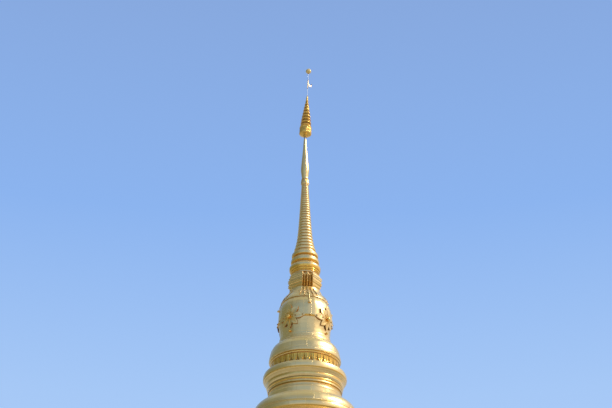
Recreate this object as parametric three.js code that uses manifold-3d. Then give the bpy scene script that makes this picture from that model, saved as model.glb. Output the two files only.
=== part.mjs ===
// Gilded bell stupa, 36 m tall, from its square plinths up to the bud on the mast.
// Units are millimetres, +Z is up, and the stupa stands on the origin.
import * as THREE from 'three';
import Module from 'manifold-3d';
import { mergeVertices } from 'three/addons/utils/BufferGeometryUtils.js';

const wasm = await Module();
wasm.setup();
const { Manifold, Mesh } = wasm;

// Driving dimensions
const GAP = 0.3;
const SAG = 0.9;
const SEG = 40;
const FINE = 20;

// Heights at which one tier ends and the next begins
const LEVEL = {
  plinthLower: 1500,
  plinthMiddle: 2900,
  plinthUpper: 4200,
  baseLower: 7900,
  baseBody: 13400,
  baseUpper: 15650,
  mouldingLower: 17950,
  mouldingMiddle: 20165,
  mouldingUpper: 21400,
  lotusMoulding: 22780,
  bell: 24310,
  crown: 24900,
  harmika: 25600,
  neck: 26710,
  ringsUpper: 29880,
  lotusCup: 30160,
  spindle: 32200,
  mastTop: 35680,
};

// Half widths of the redented square tiers, and the step of their corners
const HALF = {
  plinthLower: 6000,
  plinthMiddle: 5450,
  plinthUpper: 4950,
  baseLower: 4450,
  baseBody: 3900,
  baseUpper: 3450,
};
const INSET = { baseLower: 420, baseBody: 450, baseUpper: 330 };
const STEP = { plinth: 360, base: 420, harmika: 150 };

// Radii of the round parts
const R = {
  drumLower: 1960,
  lipLower: 2520,
  drumMiddle: 1500,
  lipMiddle: 1990,
  drumUpper: 1340,
  lipUpper: 1580,
  lotusTop: 985,
  lotusLip: 1370,
  lotusFoot: 1245,
  bellFoot: 962,
  bellBelt: 1020,
  bellTop: 880,
  crownLip: 903,
  crownTop: 590,
  ringsHead: 140,
  spindle: 171,
  spindleTip: 52,
  mast: 10,
};

// Height of the upper edge of each round moulding's lip
const LIP = { lower: 17300, middle: 19600, upper: 21250 };

const BELT_HEIGHT = 23430;
const FLOWER = { radius: 491, petals: 8, thickness: 20, boss: 80 };
const ORNAMENT = { radius: 205, lift: 3.4 };
const RINGS = { count: 27, lower: 12, taper: 190, flare: 100 };
const UMBRELLA = { foot: 32300, radius: 258, drum: 32810, tiers: 8, wide: 232, narrow: 84, top: 34140 };
const VANE = { height: 34885, sleeve: 440, length: 205, plate: 7, bore: 12, wall: 7, turned: 76 };

// The finial above the spindle leans a little, and its foot is lifted so that it clears the spindle
const LEAN = { angle: 2.4, towards: 35, lift: 2 };

const GILT = { color: 0xb8a05a, metalness: 0.9, roughness: 0.4 };
const BRIGHT = { color: 0xd99a2b, metalness: 1, roughness: 0.25 };
const STEEL = { color: 0xb4b8bc, metalness: 1, roughness: 0.3 };

const group = new THREE.Group();

function add(name, geometry, look) {
  const mesh = new THREE.Mesh(geometry, new THREE.MeshStandardMaterial(look));
  mesh.name = name;
  group.add(mesh);
  return mesh;
}

// Tilts a geometry with the finial, about the top of the spindle
function leaning(geometry) {
  const way = THREE.MathUtils.degToRad(LEAN.towards);
  const axis = new THREE.Vector3(-Math.sin(way), Math.cos(way), 0);
  return geometry
    .translate(0, 0, LEAN.lift - LEVEL.spindle)
    .applyMatrix4(new THREE.Matrix4().makeRotationAxis(axis, THREE.MathUtils.degToRad(LEAN.angle)))
    .translate(0, 0, LEVEL.spindle);
}

// Turned body about +Z from [radius, height] points that run upwards on the outside
function turned(points, segments = SEG) {
  const profile = points.map(([r, z]) => new THREE.Vector2(r, z));
  return new THREE.LatheGeometry(profile, segments).rotateX(Math.PI / 2);
}

// Turned ring: the same, closed on itself
function turnedRing(points, segments = SEG) {
  return turned([...points, points[0]], segments);
}

// Plan of a square with two steps cut from each corner
function redentedPlan(half, step) {
  const corner = [
    [half, half - 2 * step],
    [half - step, half - 2 * step],
    [half - step, half - step],
    [half - 2 * step, half - step],
    [half - 2 * step, half],
  ];
  const plan = [];
  for (let quarter = 0; quarter < 4; quarter += 1) {
    const turn = (quarter * Math.PI) / 2;
    for (const [x, y] of corner) {
      plan.push([x * Math.cos(turn) - y * Math.sin(turn), x * Math.sin(turn) + y * Math.cos(turn)]);
    }
  }
  return plan;
}

// Solid with a redented square plan at every [half width, height] of its profile
function redented(profile, step) {
  const count = 20;
  const points = [];
  const faces = [];
  for (const [half, z] of profile) {
    for (const [x, y] of redentedPlan(half, step)) points.push(x, y, z);
  }
  for (let level = 0; level < profile.length - 1; level += 1) {
    for (let i = 0; i < count; i += 1) {
      const j = (i + 1) % count;
      const a = level * count + i;
      const b = level * count + j;
      faces.push(a, b, b + count, a, b + count, a + count);
    }
  }
  const last = profile.length - 1;
  const bottom = points.length / 3;
  points.push(0, 0, profile[0][1], 0, 0, profile[last][1]);
  for (let i = 0; i < count; i += 1) {
    const j = (i + 1) % count;
    faces.push(bottom, j, i, bottom + 1, last * count + i, last * count + j);
  }
  return meshOf(points, faces);
}

function meshOf(points, faces) {
  const geometry = new THREE.BufferGeometry();
  geometry.setAttribute('position', new THREE.Float32BufferAttribute(points, 3));
  geometry.setIndex(faces);
  geometry.computeVertexNormals();
  return geometry;
}

// Plate shaped by a polar outline and laid round the stupa: reach(angle) is the outline's radius,
// surface(height) the radius it lies on, rise(share) its thickness from the middle 0 to the rim 1
function wrappedPlate({ sides, rings, reach, rise, surface, height, azimuth }) {
  const points = [];
  const faces = [];
  const place = (u, v, lift) => {
    const r = surface(height + v) + lift;
    const angle = azimuth + u / surface(height);
    points.push(r * Math.sin(angle), -r * Math.cos(angle), height + v);
  };
  for (const side of [1, 0]) {
    place(0, 0, side * rise(0));
    for (let ring = 1; ring <= rings; ring += 1) {
      for (let i = 0; i < sides; i += 1) {
        const angle = (2 * Math.PI * i) / sides;
        const share = ring / rings;
        const reachHere = reach(angle) * share;
        place(reachHere * Math.sin(angle), reachHere * Math.cos(angle), side * rise(share));
      }
    }
  }
  const half = 1 + rings * sides;
  const at = (side, ring, i) => side * half + 1 + (ring - 1) * sides + (i % sides);
  for (let i = 0; i < sides; i += 1) {
    faces.push(0, at(0, 1, i + 1), at(0, 1, i), half, at(1, 1, i), at(1, 1, i + 1));
    for (let ring = 1; ring < rings; ring += 1) {
      const [a, b, c, d] = [at(0, ring, i), at(0, ring, i + 1), at(0, ring + 1, i + 1), at(0, ring + 1, i)];
      faces.push(a, b, c, a, c, d);
      const [e, f, g, h] = [at(1, ring, i), at(1, ring, i + 1), at(1, ring + 1, i + 1), at(1, ring + 1, i)];
      faces.push(e, g, f, e, h, g);
    }
    const [p, q, r, s] = [at(0, rings, i), at(0, rings, i + 1), at(1, rings, i + 1), at(1, rings, i)];
    faces.push(p, q, r, p, r, s);
  }
  return meshOf(points, faces);
}

// Radius at a height on a profile of [radius, height] points that runs upwards
function radiusOn(profile) {
  return (z) => {
    for (let i = 0; i < profile.length - 1; i += 1) {
      const [r0, z0] = profile[i];
      const [r1, z1] = profile[i + 1];
      if (z >= z0 && z <= z1 && z1 > z0) return r0 + ((r1 - r0) * (z - z0)) / (z1 - z0);
    }
    return z < profile[0][1] ? profile[0][0] : profile[profile.length - 1][0];
  };
}

function toManifold(geometry) {
  const bare = geometry.clone();
  bare.deleteAttribute('normal');
  bare.deleteAttribute('uv');
  const merged = mergeVertices(bare, 0.001);
  const mesh = new Mesh({
    numProp: 3,
    vertProperties: new Float32Array(merged.attributes.position.array),
    triVerts: new Uint32Array(merged.index.array),
  });
  return new Manifold(mesh);
}

function fromManifold(solid) {
  const { vertProperties, triVerts } = solid.getMesh();
  return meshOf(Array.from(vertProperties), Array.from(triVerts));
}

// Square base, from the ground to the round mouldings

function plinth(bottom, top, half) {
  const edge = 130;
  return redented([
    [half, bottom],
    [half, top - 3 * edge],
    [half - edge, top - 2 * edge],
    [half - edge, top - edge],
    [half - 0.4 * edge, top - edge],
    [half - 0.4 * edge, top - GAP],
  ], STEP.plinth);
}

// Base tier in three pieces: an upright lotus foot, a banded waist and a hanging lotus cornice
function waistedTier(name, bottom, top, half, inset) {
  const waist = half - inset;
  const at = (share) => bottom + share * (top - bottom);
  add(`${name}_foot`, redented([
    [half, bottom],
    [half, at(0.12)],
    [half - 0.25 * inset, at(0.14)],
    [half - 0.45 * inset, at(0.2)],
    [half - 0.85 * inset, at(0.27)],
    [waist, at(0.3) - GAP],
  ], STEP.base), GILT);
  add(`${name}_waist`, redented([
    [waist, at(0.3)],
    [waist, at(0.46)],
    [waist + 0.25 * inset, at(0.47)],
    [waist + 0.25 * inset, at(0.53)],
    [waist, at(0.54)],
    [waist, at(0.7) - GAP],
  ], STEP.base), GILT);
  add(`${name}_cornice`, redented([
    [waist, at(0.7)],
    [half - 0.85 * inset, at(0.73)],
    [half - 0.4 * inset, at(0.8)],
    [half - 0.2 * inset, at(0.86)],
    [half - 0.08 * inset, at(0.88)],
    [half - 0.08 * inset, top - GAP],
  ], STEP.base), GILT);
}

add('plinth_lower', plinth(0, LEVEL.plinthLower, HALF.plinthLower), GILT);
add('plinth_middle', plinth(LEVEL.plinthLower, LEVEL.plinthMiddle, HALF.plinthMiddle), GILT);
add('plinth_upper', plinth(LEVEL.plinthMiddle, LEVEL.plinthUpper, HALF.plinthUpper), GILT);
waistedTier('base_lower', LEVEL.plinthUpper, LEVEL.baseLower, HALF.baseLower, INSET.baseLower);
waistedTier('base_body', LEVEL.baseLower, LEVEL.baseBody, HALF.baseBody, INSET.baseBody);
waistedTier('base_upper', LEVEL.baseBody, LEVEL.baseUpper, HALF.baseUpper, INSET.baseUpper);

// Round mouldings: a drum on a fillet, two small rings, an overhanging rolled lip whose upper edge is at
// lipTop, and a shoulder that curves in to the neck
function roundMoulding(bottom, top, drum, lip, neck, lipTop) {
  const over = lip - drum;
  const unit = 0.117 * lip;
  const below = (units) => lipTop - units * unit;
  const points = [
    [0, bottom],
    [drum + 0.22 * over, bottom],
    [drum + 0.22 * over, bottom + 0.75 * unit],
    [drum, bottom + 0.85 * unit],
    [drum, below(3.75)],
    [drum + 0.22 * over, below(3.7)],
    [drum + 0.22 * over, below(3.2)],
    [drum + 0.32 * over, below(3.1)],
    [drum + 0.32 * over, below(2.75)],
    [drum + 0.49 * over, below(2.2)],
    [drum + 0.49 * over, below(1.75)],
    [drum + 0.81 * over, below(1.2)],
    [lip, below(0.6)],
    [lip - 0.02 * over, lipTop],
  ];
  const steps = 5;
  for (let i = steps - 1; i >= 0; i -= 1) {
    const angle = (0.16 + (0.84 * i) / steps) * (Math.PI / 2);
    const drop = (top - GAP - lipTop) * (1 - Math.cos(angle));
    points.push([neck + (lip - neck) * Math.sin(angle), top - GAP - drop]);
  }
  points.push([neck, top - GAP], [0, top - GAP]);
  return turned(points);
}

add('moulding_lower', roundMoulding(
  LEVEL.baseUpper, LEVEL.mouldingLower, R.drumLower, R.lipLower, R.drumMiddle, LIP.lower), GILT);
add('moulding_middle', roundMoulding(
  LEVEL.mouldingLower, LEVEL.mouldingMiddle, R.drumMiddle, R.lipMiddle, R.drumUpper + 35, LIP.middle), GILT);
add('moulding_upper', roundMoulding(
  LEVEL.mouldingMiddle, LEVEL.mouldingUpper, R.drumUpper, R.lipUpper, R.lotusFoot + 70, LIP.upper), GILT);

add('lotus_moulding', turned([
  [0, LEVEL.mouldingUpper],
  [R.lotusFoot, LEVEL.mouldingUpper],
  [R.lotusFoot + 50, LEVEL.mouldingUpper + 80],
  [R.lotusLip - 25, LEVEL.mouldingUpper + 300],
  [R.lotusLip - 5, LEVEL.mouldingUpper + 390],
  [R.lotusLip, LEVEL.mouldingUpper + 430],
  [R.lotusLip, LEVEL.mouldingUpper + 530],
  [R.lotusLip - 18, LEVEL.mouldingUpper + 670],
  [R.lotusLip - 67, LEVEL.mouldingUpper + 840],
  [R.lotusLip - 142, LEVEL.mouldingUpper + 990],
  [R.lotusLip - 260, LEVEL.mouldingUpper + 1090],
  [R.lotusTop + 80, LEVEL.mouldingUpper + 1145],
  [R.lotusTop + 15, LEVEL.mouldingUpper + 1240],
  [R.lotusTop, LEVEL.lotusMoulding - GAP],
  [0, LEVEL.lotusMoulding - GAP],
]), GILT);

// Bell, its belt and the four flowers
const bellProfile = [
  [R.bellFoot, LEVEL.lotusMoulding],
  [R.bellFoot + 6, LEVEL.lotusMoulding + 170],
  [R.bellFoot + 23, LEVEL.lotusMoulding + 340],
  [R.bellBelt - 12, LEVEL.lotusMoulding + 500],
  [R.bellBelt, BELT_HEIGHT - 60],
  [R.bellBelt, LEVEL.bell - 530],
  [R.bellBelt - 10, LEVEL.bell - 360],
  [R.bellBelt - 40, LEVEL.bell - 210],
  [R.bellTop + 55, LEVEL.bell - 90],
  [R.bellTop, LEVEL.bell - GAP],
];
add('bell', turned([[0, LEVEL.lotusMoulding], ...bellProfile, [0, LEVEL.bell - GAP]]), GILT);

const beltRadius = R.bellBelt + GAP;
add('bell_belt', turnedRing([
  [beltRadius, BELT_HEIGHT - 30],
  [beltRadius + 12, BELT_HEIGHT - 30],
  [beltRadius + 22, BELT_HEIGHT],
  [beltRadius + 12, BELT_HEIGHT + 30],
  [beltRadius, BELT_HEIGHT + 30],
]), BRIGHT);

const SIDES = ['front', 'right', 'back', 'left'];
SIDES.forEach((side, index) => {
  add(`flower_${side}`, wrappedPlate({
    sides: 64,
    rings: 3,
    reach: (angle) => FLOWER.radius * (0.5 + 0.5 * Math.abs(Math.cos((FLOWER.petals * angle) / 2))),
    rise: (share) => FLOWER.thickness + (share === 0 ? FLOWER.boss : 18 * (1 - share)),
    surface: () => beltRadius + 22 + SAG,
    height: BELT_HEIGHT,
    azimuth: (index * Math.PI) / 2,
  }), BRIGHT);
});

// Crown of the bell, with a leaf ornament below each corner of the harmika
const crownProfile = [
  [R.crownLip, LEVEL.bell],
  [R.crownLip, LEVEL.bell + 30],
  [R.crownLip - 38, LEVEL.bell + 115],
  [R.crownLip - 103, LEVEL.bell + 215],
  [R.crownLip - 178, LEVEL.bell + 310],
  [R.crownTop + 60, LEVEL.bell + 390],
  [R.crownTop + 25, LEVEL.bell + 480],
  [R.crownTop, LEVEL.crown - GAP],
];
add('bell_crown', turned([[0, LEVEL.bell], ...crownProfile, [0, LEVEL.crown - GAP]]), GILT);

const CORNERS = ['front_right', 'back_right', 'back_left', 'front_left'];
CORNERS.forEach((corner, index) => {
  add(`crown_ornament_${corner}`, wrappedPlate({
    sides: 30,
    rings: 3,
    reach: (angle) => ORNAMENT.radius * (0.72 + 0.28 * Math.abs(Math.cos(2.5 * angle))),
    rise: (share) => 24 - 8 * share,
    surface: (z) => radiusOn(crownProfile)(z) + ORNAMENT.lift,
    height: LEVEL.bell + 230,
    azimuth: ((index + 0.5) * Math.PI) / 2,
  }), BRIGHT);
});

// Harmika: the redented block on the crown
const HARMIKA_HALF = 606;
add('harmika', redented([
  [HARMIKA_HALF - 90, LEVEL.crown],
  [HARMIKA_HALF - 80, LEVEL.crown + 90],
  [HARMIKA_HALF - 46, LEVEL.crown + 130],
  [HARMIKA_HALF - 46, LEVEL.crown + 205],
  [HARMIKA_HALF - 6, LEVEL.crown + 235],
  [HARMIKA_HALF - 6, LEVEL.crown + 330],
  [HARMIKA_HALF - 20, LEVEL.crown + 345],
  [HARMIKA_HALF - 20, LEVEL.crown + 420],
  [HARMIKA_HALF, LEVEL.crown + 435],
  [HARMIKA_HALF, LEVEL.crown + 555],
  [HARMIKA_HALF - 50, LEVEL.crown + 580],
  [HARMIKA_HALF - 54, LEVEL.crown + 640],
  [HARMIKA_HALF - 90, LEVEL.harmika - GAP],
], STEP.harmika), GILT);

// Neck stepped in above each of the three polished rings that rest on its ledges
const RING = {
  lower: { inner: 505, outer: 622, foot: 25650, top: 26050 },
  middle: { inner: 465, outer: 560, foot: 26090, top: 26350 },
  upper: { inner: 425, outer: 525, foot: 26390, top: 26610 },
};
add('spire_neck', turned([
  [0, LEVEL.harmika],
  [RING.lower.inner + 15, LEVEL.harmika],
  [RING.lower.inner + 15, RING.lower.foot],
  [RING.lower.inner, RING.lower.foot],
  [RING.lower.inner, RING.middle.foot],
  [RING.middle.inner, RING.middle.foot],
  [RING.middle.inner, RING.upper.foot],
  [RING.upper.inner, RING.upper.foot],
  [RING.upper.inner, RING.upper.top + 30],
  [RING.upper.inner - 30, RING.upper.top + 60],
  [RING.upper.inner - 30, LEVEL.neck - GAP],
  [0, LEVEL.neck - GAP],
], 32), GILT);

// The ring flares out from a narrow foot to its rim and slopes in again above it
function polishedRing({ inner, outer, foot, top }) {
  const bore = inner + GAP;
  const width = outer - inner;
  const rise = top - foot;
  return turnedRing([
    [bore, foot + GAP],
    [inner + 0.45 * width, foot + GAP],
    [inner + 0.75 * width, foot + 0.3 * rise],
    [outer, foot + 0.56 * rise],
    [outer, foot + 0.76 * rise],
    [inner + 0.45 * width, foot + 0.92 * rise],
    [bore, top],
  ], 32);
}
add('gold_ring_lower', polishedRing(RING.lower), BRIGHT);
add('gold_ring_middle', polishedRing(RING.middle), BRIGHT);
add('gold_ring_upper', polishedRing(RING.upper), BRIGHT);

// Ringed spire in two lengths, rings growing smaller and closer towards the top
function ringStarts() {
  const shrink = 0.973;
  const first = ((LEVEL.ringsUpper - LEVEL.neck) * (1 - shrink)) / (1 - shrink ** RINGS.count);
  const heights = [LEVEL.neck];
  for (let i = 0; i < RINGS.count; i += 1) heights.push(heights[i] + first * shrink ** i);
  return heights;
}
function spireRadius(z) {
  const share = 1 - (z - LEVEL.neck) / (LEVEL.ringsUpper - LEVEL.neck);
  return R.ringsHead + RINGS.taper * share + RINGS.flare * Math.max(share, 0) ** 8;
}
const ringHeights = ringStarts();
function ringedLength(from, to) {
  const points = [[0, ringHeights[from]]];
  for (let i = from; i < to; i += 1) {
    const [z0, z1] = [ringHeights[i], ringHeights[i + 1]];
    const pitch = z1 - z0;
    const r = spireRadius(z0);
    points.push([0.86 * r, z0], [r, z0 + 0.3 * pitch], [0.99 * r, z0 + 0.68 * pitch]);
  }
  const end = ringHeights[to] - GAP;
  points.push([0.86 * spireRadius(end), end], [0, end]);
  return turned(points, FINE);
}
add('ringed_spire_lower', ringedLength(0, RINGS.lower), GILT);
add('ringed_spire_upper', ringedLength(RINGS.lower, RINGS.count), GILT);

add('lotus_cup', turned([
  [0, LEVEL.ringsUpper],
  [R.ringsHead + 5, LEVEL.ringsUpper],
  [R.ringsHead + 24, LEVEL.ringsUpper + 70],
  [R.ringsHead + 16, LEVEL.ringsUpper + 160],
  [R.ringsHead, LEVEL.lotusCup - GAP],
  [0, LEVEL.lotusCup - GAP],
], FINE), GILT);

add('spindle', turned([
  [0, LEVEL.lotusCup],
  [R.spindle - 39, LEVEL.lotusCup],
  [R.spindle - 19, LEVEL.lotusCup + 250],
  [R.spindle, LEVEL.lotusCup + 470],
  [R.spindle - 15, LEVEL.lotusCup + 700],
  [R.spindleTip + 70, LEVEL.lotusCup + 1090],
  [R.spindleTip + 33, LEVEL.lotusCup + 1500],
  [R.spindleTip + 8, LEVEL.lotusCup + 1900],
  [R.spindleTip, LEVEL.spindle - GAP],
  [0, LEVEL.spindle - GAP],
], FINE), GILT);

// Mast that carries the umbrella, the vane and the bud
const MAST = { foot: 40, drum: 34, tiers: 30, spike: 22, spikeTop: 34380, collar: 20 };
add('mast', leaning(turned([
  [0, LEVEL.spindle],
  [MAST.foot, LEVEL.spindle],
  [MAST.foot, UMBRELLA.foot],
  [MAST.drum, UMBRELLA.foot],
  [MAST.drum, UMBRELLA.drum],
  [MAST.tiers, UMBRELLA.drum],
  [MAST.tiers, UMBRELLA.top],
  [MAST.spike, UMBRELLA.top],
  [MAST.spike, MAST.spikeTop],
  [R.mast, MAST.spikeTop],
  [R.mast, VANE.height - 30],
  [MAST.collar, VANE.height - 20],
  [MAST.collar, VANE.height - GAP],
  [R.mast, VANE.height - GAP],
  [R.mast, LEVEL.mastTop],
  [0, LEVEL.mastTop],
], FINE)), STEEL);

// Umbrella: a flat-bottomed drum, tiers that grow smaller, and a spike
add('umbrella_drum', leaning(turnedRing([
  [MAST.drum + GAP, UMBRELLA.foot + GAP],
  [70, UMBRELLA.foot + GAP],
  [82, UMBRELLA.foot + 60],
  [205, UMBRELLA.foot + 118],
  [245, UMBRELLA.foot + 140],
  [UMBRELLA.radius, UMBRELLA.foot + 175],
  [UMBRELLA.radius - 8, UMBRELLA.foot + 195],
  [UMBRELLA.radius - 8, UMBRELLA.drum - 80],
  [UMBRELLA.radius, UMBRELLA.drum - 60],
  [UMBRELLA.radius - 6, UMBRELLA.drum - 20],
  [UMBRELLA.radius - 30, UMBRELLA.drum],
  [MAST.drum + GAP, UMBRELLA.drum],
], 28)), BRIGHT);

function umbrellaTiers() {
  const [from, to] = [UMBRELLA.drum + GAP, UMBRELLA.top];
  const rise = (to - from) / UMBRELLA.tiers;
  const points = [[MAST.tiers + GAP, from]];
  for (let i = 0; i < UMBRELLA.tiers; i += 1) {
    const share = i / (UMBRELLA.tiers - 1);
    const radius = UMBRELLA.wide - (UMBRELLA.wide - UMBRELLA.narrow) * share ** 1.25;
    const z = from + i * rise;
    points.push([radius - 12, z], [radius, z + 0.25 * rise]);
    points.push([radius - 18, z + 0.55 * rise], [0.75 * radius, z + 0.9 * rise]);
  }
  points.push([MAST.tiers + GAP, to]);
  return turnedRing(points, FINE);
}
add('umbrella_tiers', leaning(umbrellaTiers()), BRIGHT);

add('umbrella_spike', leaning(turnedRing([
  [MAST.spike + GAP, UMBRELLA.top + GAP],
  [56, UMBRELLA.top + GAP],
  [62, UMBRELLA.top + 50],
  [46, UMBRELLA.top + 110],
  [38, UMBRELLA.top + 230],
  [R.mast + GAP, UMBRELLA.top + 350],
  [R.mast + GAP, MAST.spikeTop + GAP],
  [MAST.spike + GAP, MAST.spikeTop + GAP],
], FINE)), BRIGHT);

// Vane: a sleeve that turns on the mast and a crescent plate that springs from its middle, with its horn up
function vane() {
  const [inner, outer] = [VANE.bore, VANE.bore + VANE.wall];
  const top = VANE.height + VANE.sleeve;
  const sleeve = turnedRing([[inner, VANE.height], [outer, VANE.height], [outer, top], [inner, top]], FINE);
  const start = VANE.bore + 0.5 * VANE.wall;
  const at = (across, up) => [across * VANE.length, up * VANE.sleeve];
  const outline = new THREE.Shape();
  outline.moveTo(start, 0.48 * VANE.sleeve);
  outline.quadraticCurveTo(...at(0.3, 0.33), ...at(0.68, 0.29));
  outline.quadraticCurveTo(...at(1.02, 0.3), ...at(1, 0.66));
  outline.quadraticCurveTo(...at(0.9, 0.47), ...at(0.66, 0.46));
  outline.quadraticCurveTo(...at(0.36, 0.47), start, 0.78 * VANE.sleeve);
  outline.closePath();
  const extent = { depth: VANE.plate, bevelEnabled: false, curveSegments: 8 };
  const plate = new THREE.ExtrudeGeometry(outline, extent);
  plate.rotateX(Math.PI / 2);
  plate.translate(0, VANE.plate / 2, VANE.height);
  plate.rotateZ(THREE.MathUtils.degToRad(VANE.turned));
  return fromManifold(toManifold(sleeve).add(toManifold(plate)));
}
add('vane', leaning(vane()), GILT);

add('bud', leaning(turned([
  [0, LEVEL.mastTop + GAP],
  [44, LEVEL.mastTop + GAP],
  [92, LEVEL.mastTop + 50],
  [116, LEVEL.mastTop + 110],
  [108, LEVEL.mastTop + 160],
  [68, LEVEL.mastTop + 215],
  [25, LEVEL.mastTop + 250],
  [0, LEVEL.mastTop + 270],
], FINE)), BRIGHT);

export default group;
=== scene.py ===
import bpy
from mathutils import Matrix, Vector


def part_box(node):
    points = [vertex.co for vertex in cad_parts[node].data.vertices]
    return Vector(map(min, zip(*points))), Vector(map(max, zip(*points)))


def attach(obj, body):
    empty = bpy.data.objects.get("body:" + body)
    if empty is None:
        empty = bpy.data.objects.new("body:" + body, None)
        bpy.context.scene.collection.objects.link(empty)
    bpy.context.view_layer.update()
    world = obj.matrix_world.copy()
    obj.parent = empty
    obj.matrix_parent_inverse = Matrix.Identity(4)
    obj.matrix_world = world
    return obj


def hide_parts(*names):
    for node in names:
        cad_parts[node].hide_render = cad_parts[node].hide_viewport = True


bl_info = {
    "name": "Gilded bell stupa",
    "version": (1, 0, 0),
    "blender": (4, 5, 0),
    "location": "View3D > Sidebar > Stupa",
    "description": "Dresses the packed frame of a gilded bell stupa in gilt sheet and lights it",
    "category": "Object",
}

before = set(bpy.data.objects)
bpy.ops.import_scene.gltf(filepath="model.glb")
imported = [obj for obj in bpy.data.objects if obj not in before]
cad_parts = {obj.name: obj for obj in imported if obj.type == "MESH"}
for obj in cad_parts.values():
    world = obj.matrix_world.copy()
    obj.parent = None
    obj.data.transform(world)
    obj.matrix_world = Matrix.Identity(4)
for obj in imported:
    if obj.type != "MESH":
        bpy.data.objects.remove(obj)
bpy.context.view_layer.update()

import math
from collections import namedtuple

import bpy
import numpy as np
from bpy.props import FloatProperty, FloatVectorProperty, IntProperty, PointerProperty
from mathutils import Euler, Matrix

TURN = 2.0 * np.pi
RIGHT_ANGLE = math.radians(90.0)
FINISHES = {}

# Out of the wall, in the flat frame (right, up, out) that leaves and drops are made in
OUT = np.array((0.0, 0.0, 1.0))

# Edges that bend by more than this stay sharp
CREASE = math.radians(38.0)

# Width and height of the sheets on the square base
BASE_SHEET = (0.9, 0.6)

# Steps in the plan of the redented pieces
PLINTH_STEP = 0.36
BASE_STEP = 0.42
HARMIKA_STEP = 0.15

# How much fuller the bell's belly is than in the frame
BELL_FULLNESS = 0.01

BELT_KNOTS = 24
CUP_PETALS = 6
DRUM_PETALS = 14
HEM_LEAVES = 28
UMBRELLA_BORE = 0.035
FLOOR_RADIUS = 120.0
FLOOR_POINTS = 96

# One closed skin: its points, its faces with their corners' sheet coordinates, and two values a point
Skin = namedtuple("Skin", "points triangles quads triangle_uv quad_uv recess polish")


# Settings

def length_setting(name, description, default):
    """A length in metres."""
    return FloatProperty(name=name, description=description, default=default, unit="LENGTH")


def angle_setting(name, description, degrees):
    """An angle, whose default is given in degrees."""
    return FloatProperty(name=name, description=description, default=math.radians(degrees), subtype="ANGLE")


def amount_setting(name, description, default, most=1.0):
    """A plain number from zero to most."""
    return FloatProperty(name=name, description=description, default=default, min=0.0, max=most)


def count_setting(name, description, default, least):
    """A whole number, least or more."""
    return IntProperty(name=name, description=description, default=default, min=least)


def colour_setting(name, description, default):
    """A colour."""
    return FloatVectorProperty(name=name, description=description, default=default, size=3, subtype="COLOR")


class StupaSizes(bpy.types.PropertyGroup):
    sheet_width: length_setting("Sheet width", "Width of one gilt sheet", 0.62)
    sheet_height: length_setting("Sheet height", "Height of one gilt sheet", 0.46)
    base_petal: length_setting("Base petal", "Width of the lotus petals on the square base", 0.75)
    petal_relief: length_setting("Petal relief", "How far the base's petals stand proud", 0.05)
    lotus_petals: count_setting("Lotus petals", "Petals round the moulding below the bell", 32, 8)
    bell_strips: count_setting("Bell strips", "Upright sheets round the bell", 22, 8)
    flower_petal: length_setting("Flower petal", "Length of the petals of the bell's flowers", 0.52)
    flower_petals: count_setting("Flower petals", "Petals of each of the bell's flowers", 8, 4)
    spire_rings: count_setting("Spire rings", "Rings of the spire, from its neck to the lotus cup", 27, 6)
    umbrella_tiers: count_setting("Umbrella tiers", "Tiers of the umbrella above its drum", 8, 2)
    lean: angle_setting("Lean", "How far the finial leans from upright", 2.4)
    lean_towards: angle_setting("Lean towards", "Where the finial leans to, round from the right", 35.0)
    lean_lift: length_setting("Lean lift", "How far the leaning mast is lifted to clear the spindle", 0.002)
    vane_turn: angle_setting("Vane turn", "Where the vane points at rest, round from the right", 76.0)


class StupaFinish(bpy.types.PropertyGroup):
    gilt_low: colour_setting("Gilt, dull", "Colour of the duller gilt sheets", (0.83, 0.55, 0.22))
    gilt_high: colour_setting("Gilt, fresh", "Colour of the brighter gilt sheets", (0.97, 0.70, 0.32))
    polished: colour_setting("Polished gilt", "Colour of polished rings and ornaments", (1.0, 0.54, 0.10))
    # Orange painted reflection, the warm bounce inside grooves and under ledges, together with their dust
    recess: colour_setting("Recesses", "Colour of the dust in the grooves", (0.64, 0.31, 0.04))
    # Dark painted shade in the deepest grooves and gaps, together with the thickest grime
    deep_shade_and_grime: colour_setting("Grime", "Colour of the thickest dust", (0.09, 0.06, 0.02))
    # Pale gilt on faces that look up: weathering, and painted light where the sun falls on top faces
    weathered_and_top_light: colour_setting("Weathered gilt", "Colour of gilt that faces up", (0.84, 0.72, 0.42))
    steel: colour_setting("Steel", "Colour of the bare mast", (0.52, 0.53, 0.55))
    sheet_roughness: amount_setting("Sheet roughness", "Roughness of the satin gilt sheet", 0.36)
    polished_roughness: amount_setting("Polished roughness", "Roughness of the polished gilt", 0.2)
    dents: length_setting("Dents", "Depth of the shallow dents in the sheets", 0.012)


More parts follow.
